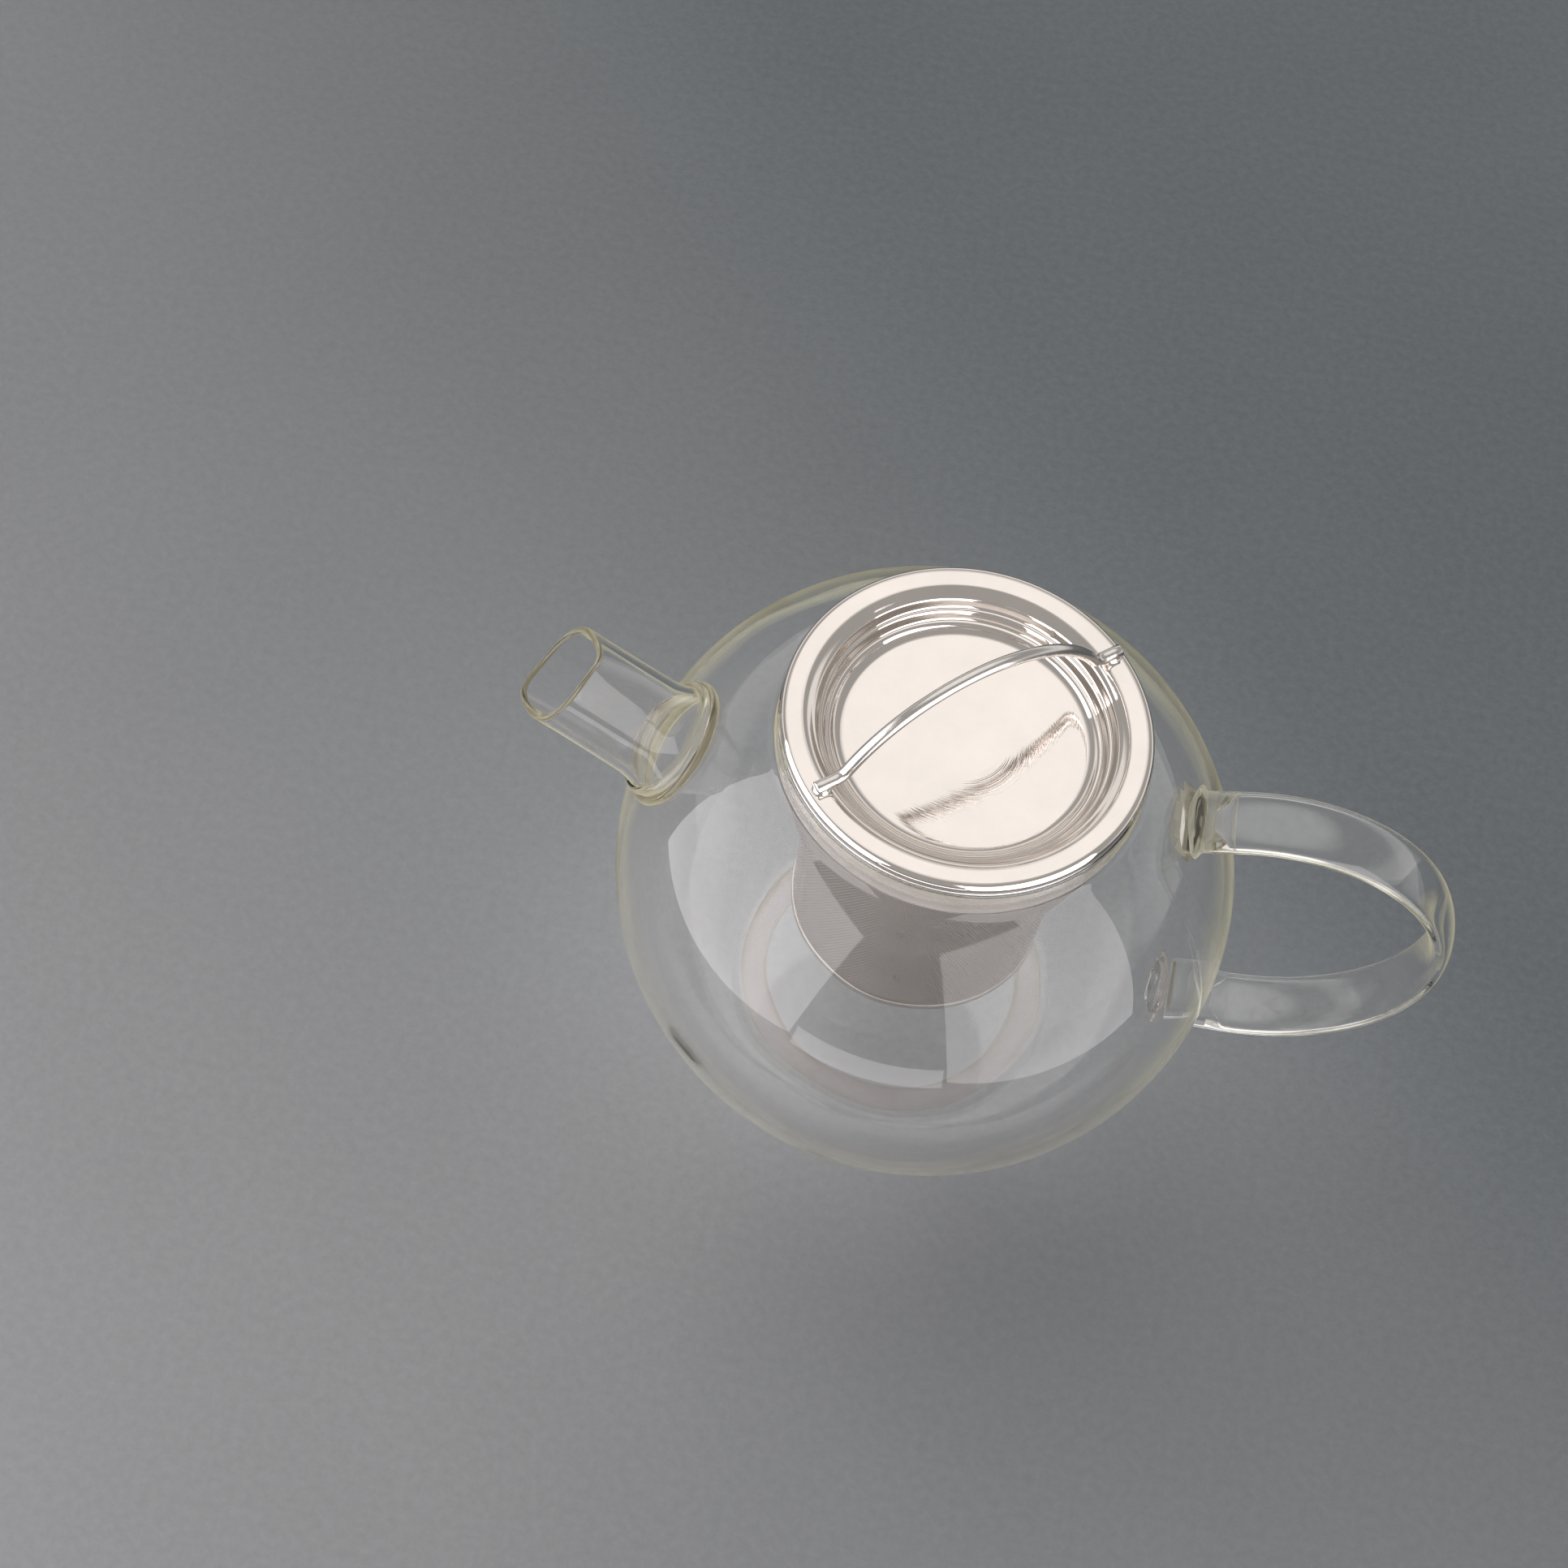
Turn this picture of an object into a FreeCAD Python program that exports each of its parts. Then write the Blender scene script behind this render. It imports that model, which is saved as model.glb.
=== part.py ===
import FreeCAD, Part
import math
import os
import Sketcher

# A hand-blown glass teapot with a perforated steel infuser and a dished steel lid.
# Millimetres, +Z up. The origin is on the table, under the bulb's axis.
# The spout points to -X and the handle to +X, both in the XZ plane.

# name of the value, its size, what it is
SIZES = [
    ("bulb_radius", 75.0, "largest radius of the glass bulb"),
    ("bulb_centre_height", 58.5, "height of the largest radius above the table"),
    ("meridian_radius", 65.95, "radius of the arc that the bulb is turned from"),
    ("neck_radius", 43.3, "outside of the short straight neck"),
    ("glass_rim_height", 123.1, "top of the glass neck"),
    ("glass_wall", 2.0, "wall of the bulb and neck"),
    ("base_thickness", 2.8, "glass under the bulb"),
    ("foot_fillet", 5.0, "rounding where the bulb meets its flat foot"),
    ("neck_fillet", 3.5, "hollow rounding where the bulb meets its neck"),
    ("lip_fillet", 0.9, "fire-polished rounding of a cut glass edge"),
    ("spout_x", 65.8, "where the spout's axis leaves the bulb, out from the pot's axis"),
    ("spout_height", 92.1, "the same point's height"),
    ("spout_angle", 35.0, "rise of the spout in degrees"),
    ("spout_radius", 12.0, "outside of the spout tube"),
    ("spout_root_radius", 12.9, "outside of the spout tube above its flare"),
    ("spout_flare_radius", 14.3, "outside of the spout tube where it meets the bulb"),
    ("spout_flare_length", 7.0, "length of the flare"),
    ("spout_flare_curve", 18.0, "hollow rounding of the flare"),
    ("spout_root_depth", 6.0, "how far the spout's form reaches into the bulb before it is trimmed"),
    ("spout_wall", 1.7, "wall of the spout tube"),
    ("spout_length", 34.0, "from the bulb to the mouth, along the spout"),
    ("spout_lip_start", 22.0, "where the round tube starts to spread into its mouth"),
    ("mouth_half_height", 13.7, "half of the mouth's height across the spout"),
    ("spout_bead_radius", 13.7, "centre radius of the weld bead round the spout"),
    ("spout_bead_thickness", 1.5, "section radius of that bead"),
    ("handle_half_width", 8.35, "half of the flattened handle tube's width, along Y"),
    ("handle_half_depth", 3.0, "half of its thickness, in the plane of the loop"),
    ("handle_wall", 1.5, "wall of the handle tube"),
    ("handle_start_x", 53.4, "start of the handle's centreline, inside the bulb's wall"),
    ("handle_start_height", 103.9, "height of that start"),
    ("handle_rise", 19.4, "rise of the handle's upper run in degrees"),
    ("handle_straight", 15.4, "straight upper run"),
    ("handle_upper_radius", 42.3, "radius of the upper bend"),
    ("handle_upper_bend", 89.6, "angle of the upper bend"),
    ("handle_back_radius", 35.6, "radius of the bend behind the grip"),
    ("handle_back_bend", 19.0, "angle of that bend"),
    ("handle_lower_radius", 46.6, "radius of the lower bend"),
    ("handle_lower_bend", 87.8, "angle of the lower bend"),
    ("handle_tail", 17.0, "straight end that runs into the bulb's wall"),
    ("weld_half_length", 4.0, "half length of the rounded glass at each end of the handle"),
    ("weld_half_width", 10.0, "half of its width, along Y"),
    ("weld_half_depth", 4.7, "half of its thickness, in the plane of the loop"),
    ("upper_weld_x", 58.2, "centre of the upper weld, out from the axis"),
    ("upper_weld_height", 105.6, "the same point's height"),
    ("lower_weld_x", 66.4, "centre of the lower weld, out from the axis"),
    ("lower_weld_height", 24.0, "the same point's height"),
    ("fit_gap", 0.3, "gap between parts that lift out of each other"),
    ("sheet_steel", 0.7, "thickness of the collar's and the lid's sheet"),
    ("flange_radius", 43.0, "edge of the infuser's flange, on the glass rim"),
    ("band_depth", 10.4, "depth of the collar's brushed band"),
    ("spigot_depth", 5.0, "length of the spigot"),
    ("basket_top_radius", 32.6, "outside of the strainer wall at its top"),
    ("basket_bottom_radius", 30.2, "outside of the strainer wall at its bottom"),
    ("basket_bottom_height", 43.5, "underside of the basket"),
    ("strainer_thickness", 0.4, "thickness of the perforated strainer sheet"),
    ("seam_angle", 7.0, "width of the wall's lap seam, as an angle"),
    ("seam_direction", 120.0, "where the lap seam is, round the axis from +X"),
    ("seam_low_gap", 0.2, "gap between the seam and the hem"),
    ("seam_high_gap", 0.5, "gap between the seam and the collar's shoulder"),
    ("hem_depth", 1.8, "depth of the rolled hem round the basket's floor"),
    ("lid_radius", 43.1, "edge of the lid"),
    ("lid_crest_height", 126.9, "top of the lid's rim"),
    ("lid_edge_radius", 1.5, "rounding of the lid's edge"),
    ("lid_rest_gap", 0.1, "gap between the lid's edge and the flange it rests on"),
    ("well_brow_radius", 0.9, "rounding from the rim into the well"),
    ("well_top_radius", 35.2, "inner edge of the lid's flat rim"),
    ("well_radius", 28.3, "floor of the lid's well"),
    ("well_depth", 8.7, "from the rim down to the floor of the well"),
    ("well_foot_set_out", 0.28, "underside of the well's wall, out from its foot"),
    ("well_top_set_out", 1.12, "underside of the well's wall, out from its top"),
    ("wire_radius", 1.5, "bail wire"),
    ("bail_angle", 40.5, "direction of the bail across the lid"),
    ("bail_height", 21.9, "crest of the bail's centreline above the lid's rim"),
    ("bail_arch_radius", 38.8, "radius of the bail's arch"),
    ("bail_bend_radius", 4.5, "bend from the arch into each foot"),
    ("bail_foot_reach", 41.3, "end of each foot, out from the axis"),
    ("bail_seat", 0.15, "gap under the wire that the spot welds fill"),
    ("nugget_radius", 2.1, "radius of each spot weld"),
    ("nugget_rise", 0.6, "how far the spot welds rise round the wire"),
    ("nugget_reach", 39.4, "each spot weld, out from the axis"),
]

# How far a cutting form reaches past the surface that it cuts.
PAST_SURFACE = 5.0
TINY = 0.01

# Sums of the sheet's values that several sub-parts share.
NECK_INSIDE = "(size.neck_radius - size.glass_wall)"
FLANGE_TOP = "(size.glass_rim_height + size.sheet_steel)"
BAND_RADIUS = "(size.neck_radius - size.glass_wall - size.fit_gap)"
BAND_BOTTOM = "(size.glass_rim_height - size.band_depth)"
BASKET_TOP = "(size.glass_rim_height - size.band_depth - size.sheet_steel)"

doc = FreeCAD.newDocument("teapot")
sheet = doc.addObject("Spreadsheet::Sheet", "size")
for row, (alias, amount, note) in enumerate(SIZES, 1):
    sheet.set(f"A{row}", note)
    sheet.set(f"B{row}", str(amount))
    sheet.setAlias(f"B{row}", alias)
doc.recompute()


def value(expression):
    """What an expression over the sheet comes to now."""
    return float(sheet.evalExpression(expression))


def bind(thing, **expressions):
    """Bind properties of a document object to expressions over the sheet."""
    for name, expression in expressions.items():
        thing.setExpression(name.replace("__", "."), expression)
    return thing


def new_body(label):
    body = doc.addObject("PartDesign::Body", label)
    body.Label = label
    return body


def new_sketch(body, name, role="XZ_Plane"):
    sketch = body.newObject("Sketcher::SketchObject", name)
    origin_plane = next(f for f in body.Origin.OriginFeatures if f.Role == role)
    sketch.AttachmentSupport = [(origin_plane, "")]
    sketch.MapMode = "FlatFace"
    return sketch


def constrain(sketch, kind, *where_and_expression):
    """Add a constraint whose size is the last argument, an expression."""
    *where, expression = where_and_expression
    amount = value(expression)
    index = sketch.addConstraint(Sketcher.Constraint(kind, *where, amount))
    sketch.setExpression(f"Constraints[{index}]", expression)


def pin_point(sketch, piece, end, across, up):
    """Fix one end of a piece of outline at two expressions."""
    for kind, axis, expression in (("DistanceX", -2, across), ("DistanceY", -1, up)):
        if abs(value(expression)) < TINY:
            sketch.addConstraint(Sketcher.Constraint("PointOnObject", piece, end, axis))
        else:
            constrain(sketch, kind, piece, end, expression)


def arc_between(start, end, radius, turn):
    """The short arc from start to end; turn is 1 to the left, -1 to the right."""
    chord = end - start
    middle = (start + end) * 0.5
    rise = math.sqrt(radius ** 2 - (chord.Length / 2) ** 2)
    left = FreeCAD.Vector(-chord.y, chord.x, 0).normalize()
    centre = middle + left * rise * turn
    first, last = (start, end) if turn > 0 else (end, start)
    angles = [math.atan2(p.y - centre.y, p.x - centre.x) for p in (first, last)]
    circle = Part.Circle(centre, FreeCAD.Vector(0, 0, 1), radius)
    return Part.ArcOfCircle(circle, *angles)


def outline(sketch, corners, arcs=None):
    """A closed outline. arcs maps a corner's number to the radius and the
    turn of the arc that leaves it; every other piece is straight."""
    arcs = arcs or {}
    count = len(corners)
    points = [FreeCAD.Vector(value(across), value(up), 0) for across, up in corners]
    starts = []
    ends = []
    for i, start in enumerate(points):
        finish = points[(i + 1) % count]
        if i in arcs:
            radius, turn = arcs[i]
            piece = sketch.addGeometry(arc_between(start, finish, value(radius), turn))
            starts.append(1 if turn > 0 else 2)
            ends.append(2 if turn > 0 else 1)
        else:
            piece = sketch.addGeometry(Part.LineSegment(start, finish))
            starts.append(1)
            ends.append(2)
    for i in range(count):
        after = (i + 1) % count
        join = Sketcher.Constraint("Coincident", i, ends[i], after, starts[after])
        sketch.addConstraint(join)
    for i, (across, up) in enumerate(corners):
        pin_point(sketch, i, starts[i], across, up)
    for i, (radius, turn) in arcs.items():
        constrain(sketch, "Radius", i, radius)


def turned(label, corners, arcs=None, sweep="360"):
    """A body made by turning an outline of radius and height about Z."""
    body = new_body(label)
    sketch = new_sketch(body, label + "_outline")
    outline(sketch, corners, arcs)
    doc.recompute()
    turn = body.newObject("PartDesign::Revolution", label + "_turn")
    turn.Profile = sketch
    turn.ReferenceAxis = (sketch, ["V_Axis"])
    bind(turn, Angle=sweep)
    body.Tip = turn
    doc.recompute()
    return body


def ring_edge(radius, height):
    """Picks the full circle about Z of this radius and height."""
    def wanted(edge):
        curve = edge.Curve
        if not isinstance(curve, Part.Circle):
            return False
        same_height = abs(curve.Center.z - height) < TINY
        return same_height and abs(curve.Radius - radius) < TINY
    return wanted


def cut(label, base, *tools):
    """The base less each tool in turn. The last cut carries the label."""
    for number, tool in enumerate(tools, 1):
        last = number == len(tools)
        result = doc.addObject("Part::Cut", label if last else f"{label}_cut_{number}")
        result.Base = base
        result.Tool = tool
        base = result
    base.Label = label
    doc.recompute()
    return base


def cylinder(name, radius, length):
    shape = doc.addObject("Part::Cylinder", name)
    return bind(shape, Radius=radius, Height=length)


def place(thing, turn_axis, turn_angle, x="0", y="0", z="0"):
    """Put a thing at x, y, z, turned about an axis by an angle in degrees."""
    rotation = FreeCAD.Rotation(turn_axis, value(turn_angle))
    where = FreeCAD.Vector(value(x), value(y), value(z))
    thing.Placement = FreeCAD.Placement(where, rotation)
    bind(thing, Placement__Base__x=x, Placement__Base__y=y, Placement__Base__z=z)
    bind(thing, Placement__Rotation__Angle=turn_angle + " * 1 deg")
    return thing


Y_AXIS = FreeCAD.Vector(0, 1, 0)
Z_AXIS = FreeCAD.Vector(0, 0, 1)


# ---------------------------------------------------------------- glass bulb
def bulb_form(label, inset, bottom, top):
    """The bulb and neck as a full turned form, inset from the outside. The
    foot and the crease under the neck are arcs tangent to the big one."""
    big = f"(size.meridian_radius - {inset})"
    ring = "(size.bulb_radius - size.meridian_radius)"
    neck = f"(size.neck_radius - {inset})"
    foot = "size.foot_fillet"
    crease = f"(size.neck_fillet + {inset})"
    foot_drop = f"(size.bulb_centre_height - {bottom} - {foot})"
    foot_out = f"sqrt(({big} - {foot})^2 - {foot_drop}^2)"
    foot_scale = f"{big} / ({big} - {foot})"
    crease_out = f"({neck} + {crease} - {ring})"
    crease_rise = f"sqrt(({big} + {crease})^2 - {crease_out}^2)"
    crease_scale = f"{big} / ({big} + {crease})"
    corners = [
        ("0", bottom), (f"{ring} + {foot_out}", bottom),
        (f"{ring} + {foot_out} * {foot_scale}",
         f"size.bulb_centre_height - {foot_drop} * {foot_scale}"),
        (f"{ring} + {crease_out} * {crease_scale}",
         f"size.bulb_centre_height + {crease_rise} * {crease_scale}"),
        (neck, f"size.bulb_centre_height + {crease_rise}"), (neck, top), ("0", top),
    ]
    return turned(label, corners, {1: (foot, 1), 2: (big, 1), 3: (crease, -1)})


def glass_bulb():
    outside = bulb_form("bulb_outside", "0", "0", "size.glass_rim_height")
    inside = bulb_form("bulb_inside", "size.glass_wall", "size.base_thickness",
                       f"(size.glass_rim_height + {PAST_SURFACE})")
    shell = cut("bulb_shell", outside, inside)
    lip = doc.addObject("Part::Fillet", "bulb_lip")
    lip.Base = shell
    rim = value("size.glass_rim_height")
    radii = [value("size.neck_radius"), value(NECK_INSIDE)]
    picks = [ring_edge(radius, rim) for radius in radii]
    rounding = value("size.lip_fillet")
    lip.Edges = [(number, rounding, rounding) for number, edge in enumerate(shell.Shape.Edges, 1)
                 if any(pick(edge) for pick in picks)]
    doc.recompute()
    bore = cylinder("spout_hole", "(size.spout_radius - size.spout_wall)",
                    f"(4 * {PAST_SURFACE})")
    on_spout_axis(bore, f"-2 * {PAST_SURFACE}")
    return outside, cut("glass_bulb", lip, bore)


# -------------------------------------------------------------------- spout
def on_spout_axis(thing, along):
    """Stand a thing on the spout's axis, so far along it from the bulb."""
    x = f"-size.spout_x - ({along}) * cos(size.spout_angle * 1 deg)"
    z = f"size.spout_height + ({along}) * sin(size.spout_angle * 1 deg)"
    return place(thing, Y_AXIS, "(size.spout_angle - 90)", x=x, z=z)


def spout_form(name, inset, below, beyond):
    """The spout as a full form: flared root, round tube and oval mouth."""
    tube = f"(size.spout_radius - {inset})"
    root = f"(size.spout_root_radius - {inset})"
    flare = f"(size.spout_flare_radius - {inset})"
    corners = [("0", below), (flare, below), (flare, "0"), (root, "size.spout_flare_length"),
               (tube, "size.spout_lip_start"), ("0", "size.spout_lip_start")]
    turn = on_spout_axis(turned(name + "_tube", corners, {2: ("size.spout_flare_curve", -1)}), "0")
    throat = doc.addObject("Part::Circle", name + "_throat")
    bind(throat, Radius=tube)
    on_spout_axis(throat, "size.spout_lip_start")
    mouth = doc.addObject("Part::Ellipse", name + "_mouth")
    bind(mouth, MajorRadius=f"(size.mouth_half_height - {inset})", MinorRadius=tube)
    on_spout_axis(mouth, f"size.spout_length + {beyond}")
    spread = doc.addObject("Part::Loft", name + "_spread")
    spread.Sections = [throat, mouth]
    spread.Solid = True
    spread.Ruled = True
    form = doc.addObject("Part::Fuse", name)
    form.Base = turn
    form.Tool = spread
    doc.recompute()
    return form


def spout(bulb):
    outside = spout_form("spout_outside", "0", "-size.spout_root_depth", "0")
    inside = spout_form("spout_inside", "size.spout_wall", "(-size.spout_root_depth - 1)", TINY)
    tube = cut("spout_tube", outside, inside, bulb)
    bead = doc.addObject("Part::Torus", "spout_bead_ring")
    bind(bead, Radius1="size.spout_bead_radius", Radius2="size.spout_bead_thickness")
    on_spout_axis(bead, "0")
    return tube, cut("spout_weld_bead", bead, outside, bulb)


# ------------------------------------------------------------------- handle
def handle_path(body, name):
    """The handle's centreline: a straight, three bends and a straight end."""
    path = new_sketch(body, name)
    rise = "size.handle_rise"
    heading = math.radians(value(rise))
    start = FreeCAD.Vector(value("size.handle_start_x"), value("size.handle_start_height"), 0)
    ahead = FreeCAD.Vector(math.cos(heading), math.sin(heading), 0)
    point = start + ahead * value("size.handle_straight")
    path.addGeometry(Part.LineSegment(start, point))
    bends = [("size.handle_upper_radius", "size.handle_upper_bend"),
             ("size.handle_back_radius", "size.handle_back_bend"),
             ("size.handle_lower_radius", "size.handle_lower_bend")]
    for radius, angle in bends:
        right = FreeCAD.Vector(math.sin(heading), -math.cos(heading), 0)
        centre = point + right * value(radius)
        heading -= math.radians(value(angle))
        finish = math.atan2(math.cos(heading), -math.sin(heading))
        circle = Part.Circle(centre, Z_AXIS, value(radius))
        path.addGeometry(Part.ArcOfCircle(circle, finish, finish + math.radians(value(angle))))
        point = centre + FreeCAD.Vector(math.cos(finish), math.sin(finish), 0) * value(radius)
    ahead = FreeCAD.Vector(math.cos(heading), math.sin(heading), 0)
    path.addGeometry(Part.LineSegment(point, point + ahead * value("size.handle_tail")))
    pin_point(path, 0, 1, "size.handle_start_x", "size.handle_start_height")
    constrain(path, "Angle", 0, rise + " * 1 deg")
    constrain(path, "Distance", 0, "size.handle_straight")
    path.addConstraint(Sketcher.Constraint("Tangent", 0, 2, 1, 2))
    path.addConstraint(Sketcher.Constraint("Tangent", 1, 1, 2, 2))
    path.addConstraint(Sketcher.Constraint("Tangent", 2, 1, 3, 2))
    path.addConstraint(Sketcher.Constraint("Tangent", 3, 1, 4, 1))
    for number, (radius, angle) in enumerate(bends, 1):
        constrain(path, "Radius", number, radius)
        constrain(path, "Angle", number, angle + " * 1 deg")
    constrain(path, "Distance", 4, "size.handle_tail")
    doc.recompute()
    return path


def round_section(sketch, radius):
    sketch.addGeometry(Part.Circle(FreeCAD.Vector(0, 0, 0), Z_AXIS, value(radius)))
    sketch.addConstraint(Sketcher.Constraint("Coincident", 0, 3, -1, 1))
    constrain(sketch, "Radius", 0, radius)


def oval_section(sketch, half_width, half_depth):
    """An ellipse with its width along the sketch's X axis. Its two axes
    become construction lines 1 and 2, and carry its sizes."""
    widest = FreeCAD.Vector(value(half_width), 0, 0)
    deepest = FreeCAD.Vector(0, value(half_depth), 0)
    sketch.addGeometry(Part.Ellipse(widest, deepest, FreeCAD.Vector(0, 0, 0)))
    sketch.exposeInternalGeometry(0)
    sketch.addConstraint(Sketcher.Constraint("Coincident", 0, 3, -1, 1))
    sketch.addConstraint(Sketcher.Constraint("Horizontal", 1))
    constrain(sketch, "Distance", 1, f"2 * {half_width}")
    constrain(sketch, "Distance", 2, f"2 * {half_depth}")


def bent_rod(label, make_path, draw_section, *section_sizes):
    """A rod along a path sketch, with a round or an oval section."""
    body = new_body(label)
    path = make_path(body, label + "_path")
    section = body.newObject("Sketcher::SketchObject", label + "_section")
    section.AttachmentSupport = [(path, "Edge1")]
    section.MapMode = "NormalToEdge"
    section.MapPathParameter = 0.0
    doc.recompute()
    draw_section(section, *section_sizes)
    doc.recompute()
    pipe = body.newObject("PartDesign::AdditivePipe", label + "_pipe")
    pipe.Profile = section
    pipe.Spine = (path, [f"Edge{i}" for i in range(1, path.GeometryCount + 1)])
    body.Tip = pipe
    doc.recompute()
    return body


def handle_weld(name, x, height, rise):
    """The rounded lump of glass at one end of the handle, along its axis."""
    lump = doc.addObject("Part::Ellipsoid", name)
    bind(lump, Radius1="size.weld_half_length", Radius2="size.weld_half_depth",
         Radius3="size.weld_half_width")
    return place(lump, Y_AXIS, f"(90 - ({rise}))", x=x, z=height)


def handle(bulb):
    wall = "size.handle_wall"
    outside = bent_rod("handle_outside", handle_path, oval_section,
                       "size.handle_half_width", "size.handle_half_depth")
    inside = bent_rod("handle_inside", handle_path, oval_section,
                      f"(size.handle_half_width - {wall})", f"(size.handle_half_depth - {wall})")
    tube = cut("handle_tube", outside, inside, bulb)
    upper = handle_weld("upper_lump", "size.upper_weld_x", "size.upper_weld_height",
                        "size.handle_rise")
    lower = handle_weld("lower_lump", "size.lower_weld_x", "size.lower_weld_height",
                        "size.handle_rise + 180 - size.handle_upper_bend"
                        " - size.handle_back_bend - size.handle_lower_bend")
    return [tube, cut("handle_upper_weld", upper, outside, bulb),
            cut("handle_lower_weld", lower, outside, bulb)]


# ------------------------------------------------------------------ infuser
def basket_radius(height):
    """The strainer wall's outside at a height, down its slight taper."""
    share = f"({height} - size.basket_bottom_height) / ({BASKET_TOP} - size.basket_bottom_height)"
    taper = "(size.basket_top_radius - size.basket_bottom_radius)"
    return f"(size.basket_bottom_radius + {taper} * {share})"


def infuser_collar():
    """Flange on the glass rim, a straight band, a shoulder and a spigot."""
    steel = "size.sheet_steel"
    spigot_end = f"({BASKET_TOP} - size.spigot_depth)"
    spigot_top_radius = f"({basket_radius(BASKET_TOP)} - size.strainer_thickness)"
    spigot_end_radius = f"({basket_radius(spigot_end)} - size.strainer_thickness)"
    corners = [
        ("size.flange_radius", "size.glass_rim_height"), ("size.flange_radius", FLANGE_TOP),
        (f"{BAND_RADIUS} - {steel}", FLANGE_TOP), (f"{BAND_RADIUS} - {steel}", BAND_BOTTOM),
        (f"{spigot_top_radius} - {steel}", BAND_BOTTOM),
        (f"{spigot_end_radius} - {steel}", spigot_end), (spigot_end_radius, spigot_end),
        (spigot_top_radius, BASKET_TOP), (BAND_RADIUS, BASKET_TOP),
        (BAND_RADIUS, "size.glass_rim_height"),
    ]
    return turned("infuser_collar", corners)


def basket_ring(label, bottom, top, inset, thickness, sweep="360"):
    """A thin tapered ring of the basket between two heights."""
    low = f"{basket_radius(bottom)} - {inset}"
    high = f"{basket_radius(top)} - {inset}"
    corners = [(low, bottom), (high, top), (f"{high} - {thickness}", top),
               (f"{low} - {thickness}", bottom)]
    return turned(label, corners, sweep=sweep)


def infuser_basket():
    strainer = "size.strainer_thickness"
    floor_top = f"(size.basket_bottom_height + {strainer})"
    hem_top = "(size.basket_bottom_height + size.hem_depth)"
    wall = basket_ring("infuser_wall", "size.basket_bottom_height", BASKET_TOP, "0", strainer)
    seam = basket_ring("infuser_wall_seam", f"({hem_top} + size.seam_low_gap)",
                       f"({BASKET_TOP} - size.seam_high_gap)", f"(-{strainer})", strainer,
                       sweep="size.seam_angle")
    place(seam, Z_AXIS, "size.seam_direction")
    edge = f"{basket_radius('size.basket_bottom_height')} - {strainer}"
    floor_corners = [("0", "size.basket_bottom_height"), (edge, "size.basket_bottom_height"),
                     (edge, floor_top), ("0", floor_top)]
    floor = turned("infuser_floor", floor_corners)
    hem = basket_ring("infuser_floor_hem", "size.basket_bottom_height", hem_top,
                      f"(-{strainer})", strainer)
    return [wall, seam, floor, hem]


# ---------------------------------------------------------------------- lid
def lid_dish():
    """A pressed dish: turned-down edge, flat rim, sloping wall, flat floor."""
    steel = "size.sheet_steel"
    crest = "size.lid_crest_height"
    floor = f"({crest} - size.well_depth)"
    edge = "size.lid_edge_radius"
    edge_bottom = f"({FLANGE_TOP} + size.lid_rest_gap)"
    brow = "size.well_brow_radius"
    foot = "size.well_radius"
    corners = [
        ("0", f"{floor} - {steel}"), (f"{foot} + size.well_foot_set_out", f"{floor} - {steel}"),
        ("size.well_top_radius + size.well_top_set_out", f"{crest} - {steel}"),
        (f"size.lid_radius - {edge}", f"{crest} - {steel}"),
        (f"size.lid_radius - {steel}", f"{crest} - {edge}"),
        (f"size.lid_radius - {steel}", edge_bottom), ("size.lid_radius", edge_bottom),
        ("size.lid_radius", f"{crest} - {edge}"), (f"size.lid_radius - {edge}", crest),
        (f"size.well_top_radius + {brow}", crest), ("size.well_top_radius", f"{crest} - {brow}"),
        (foot, floor), ("0", floor),
    ]
    arcs = {3: (f"({edge} - {steel})", -1), 7: (edge, 1), 9: (brow, 1)}
    return turned("lid_dish", corners, arcs)


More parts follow.
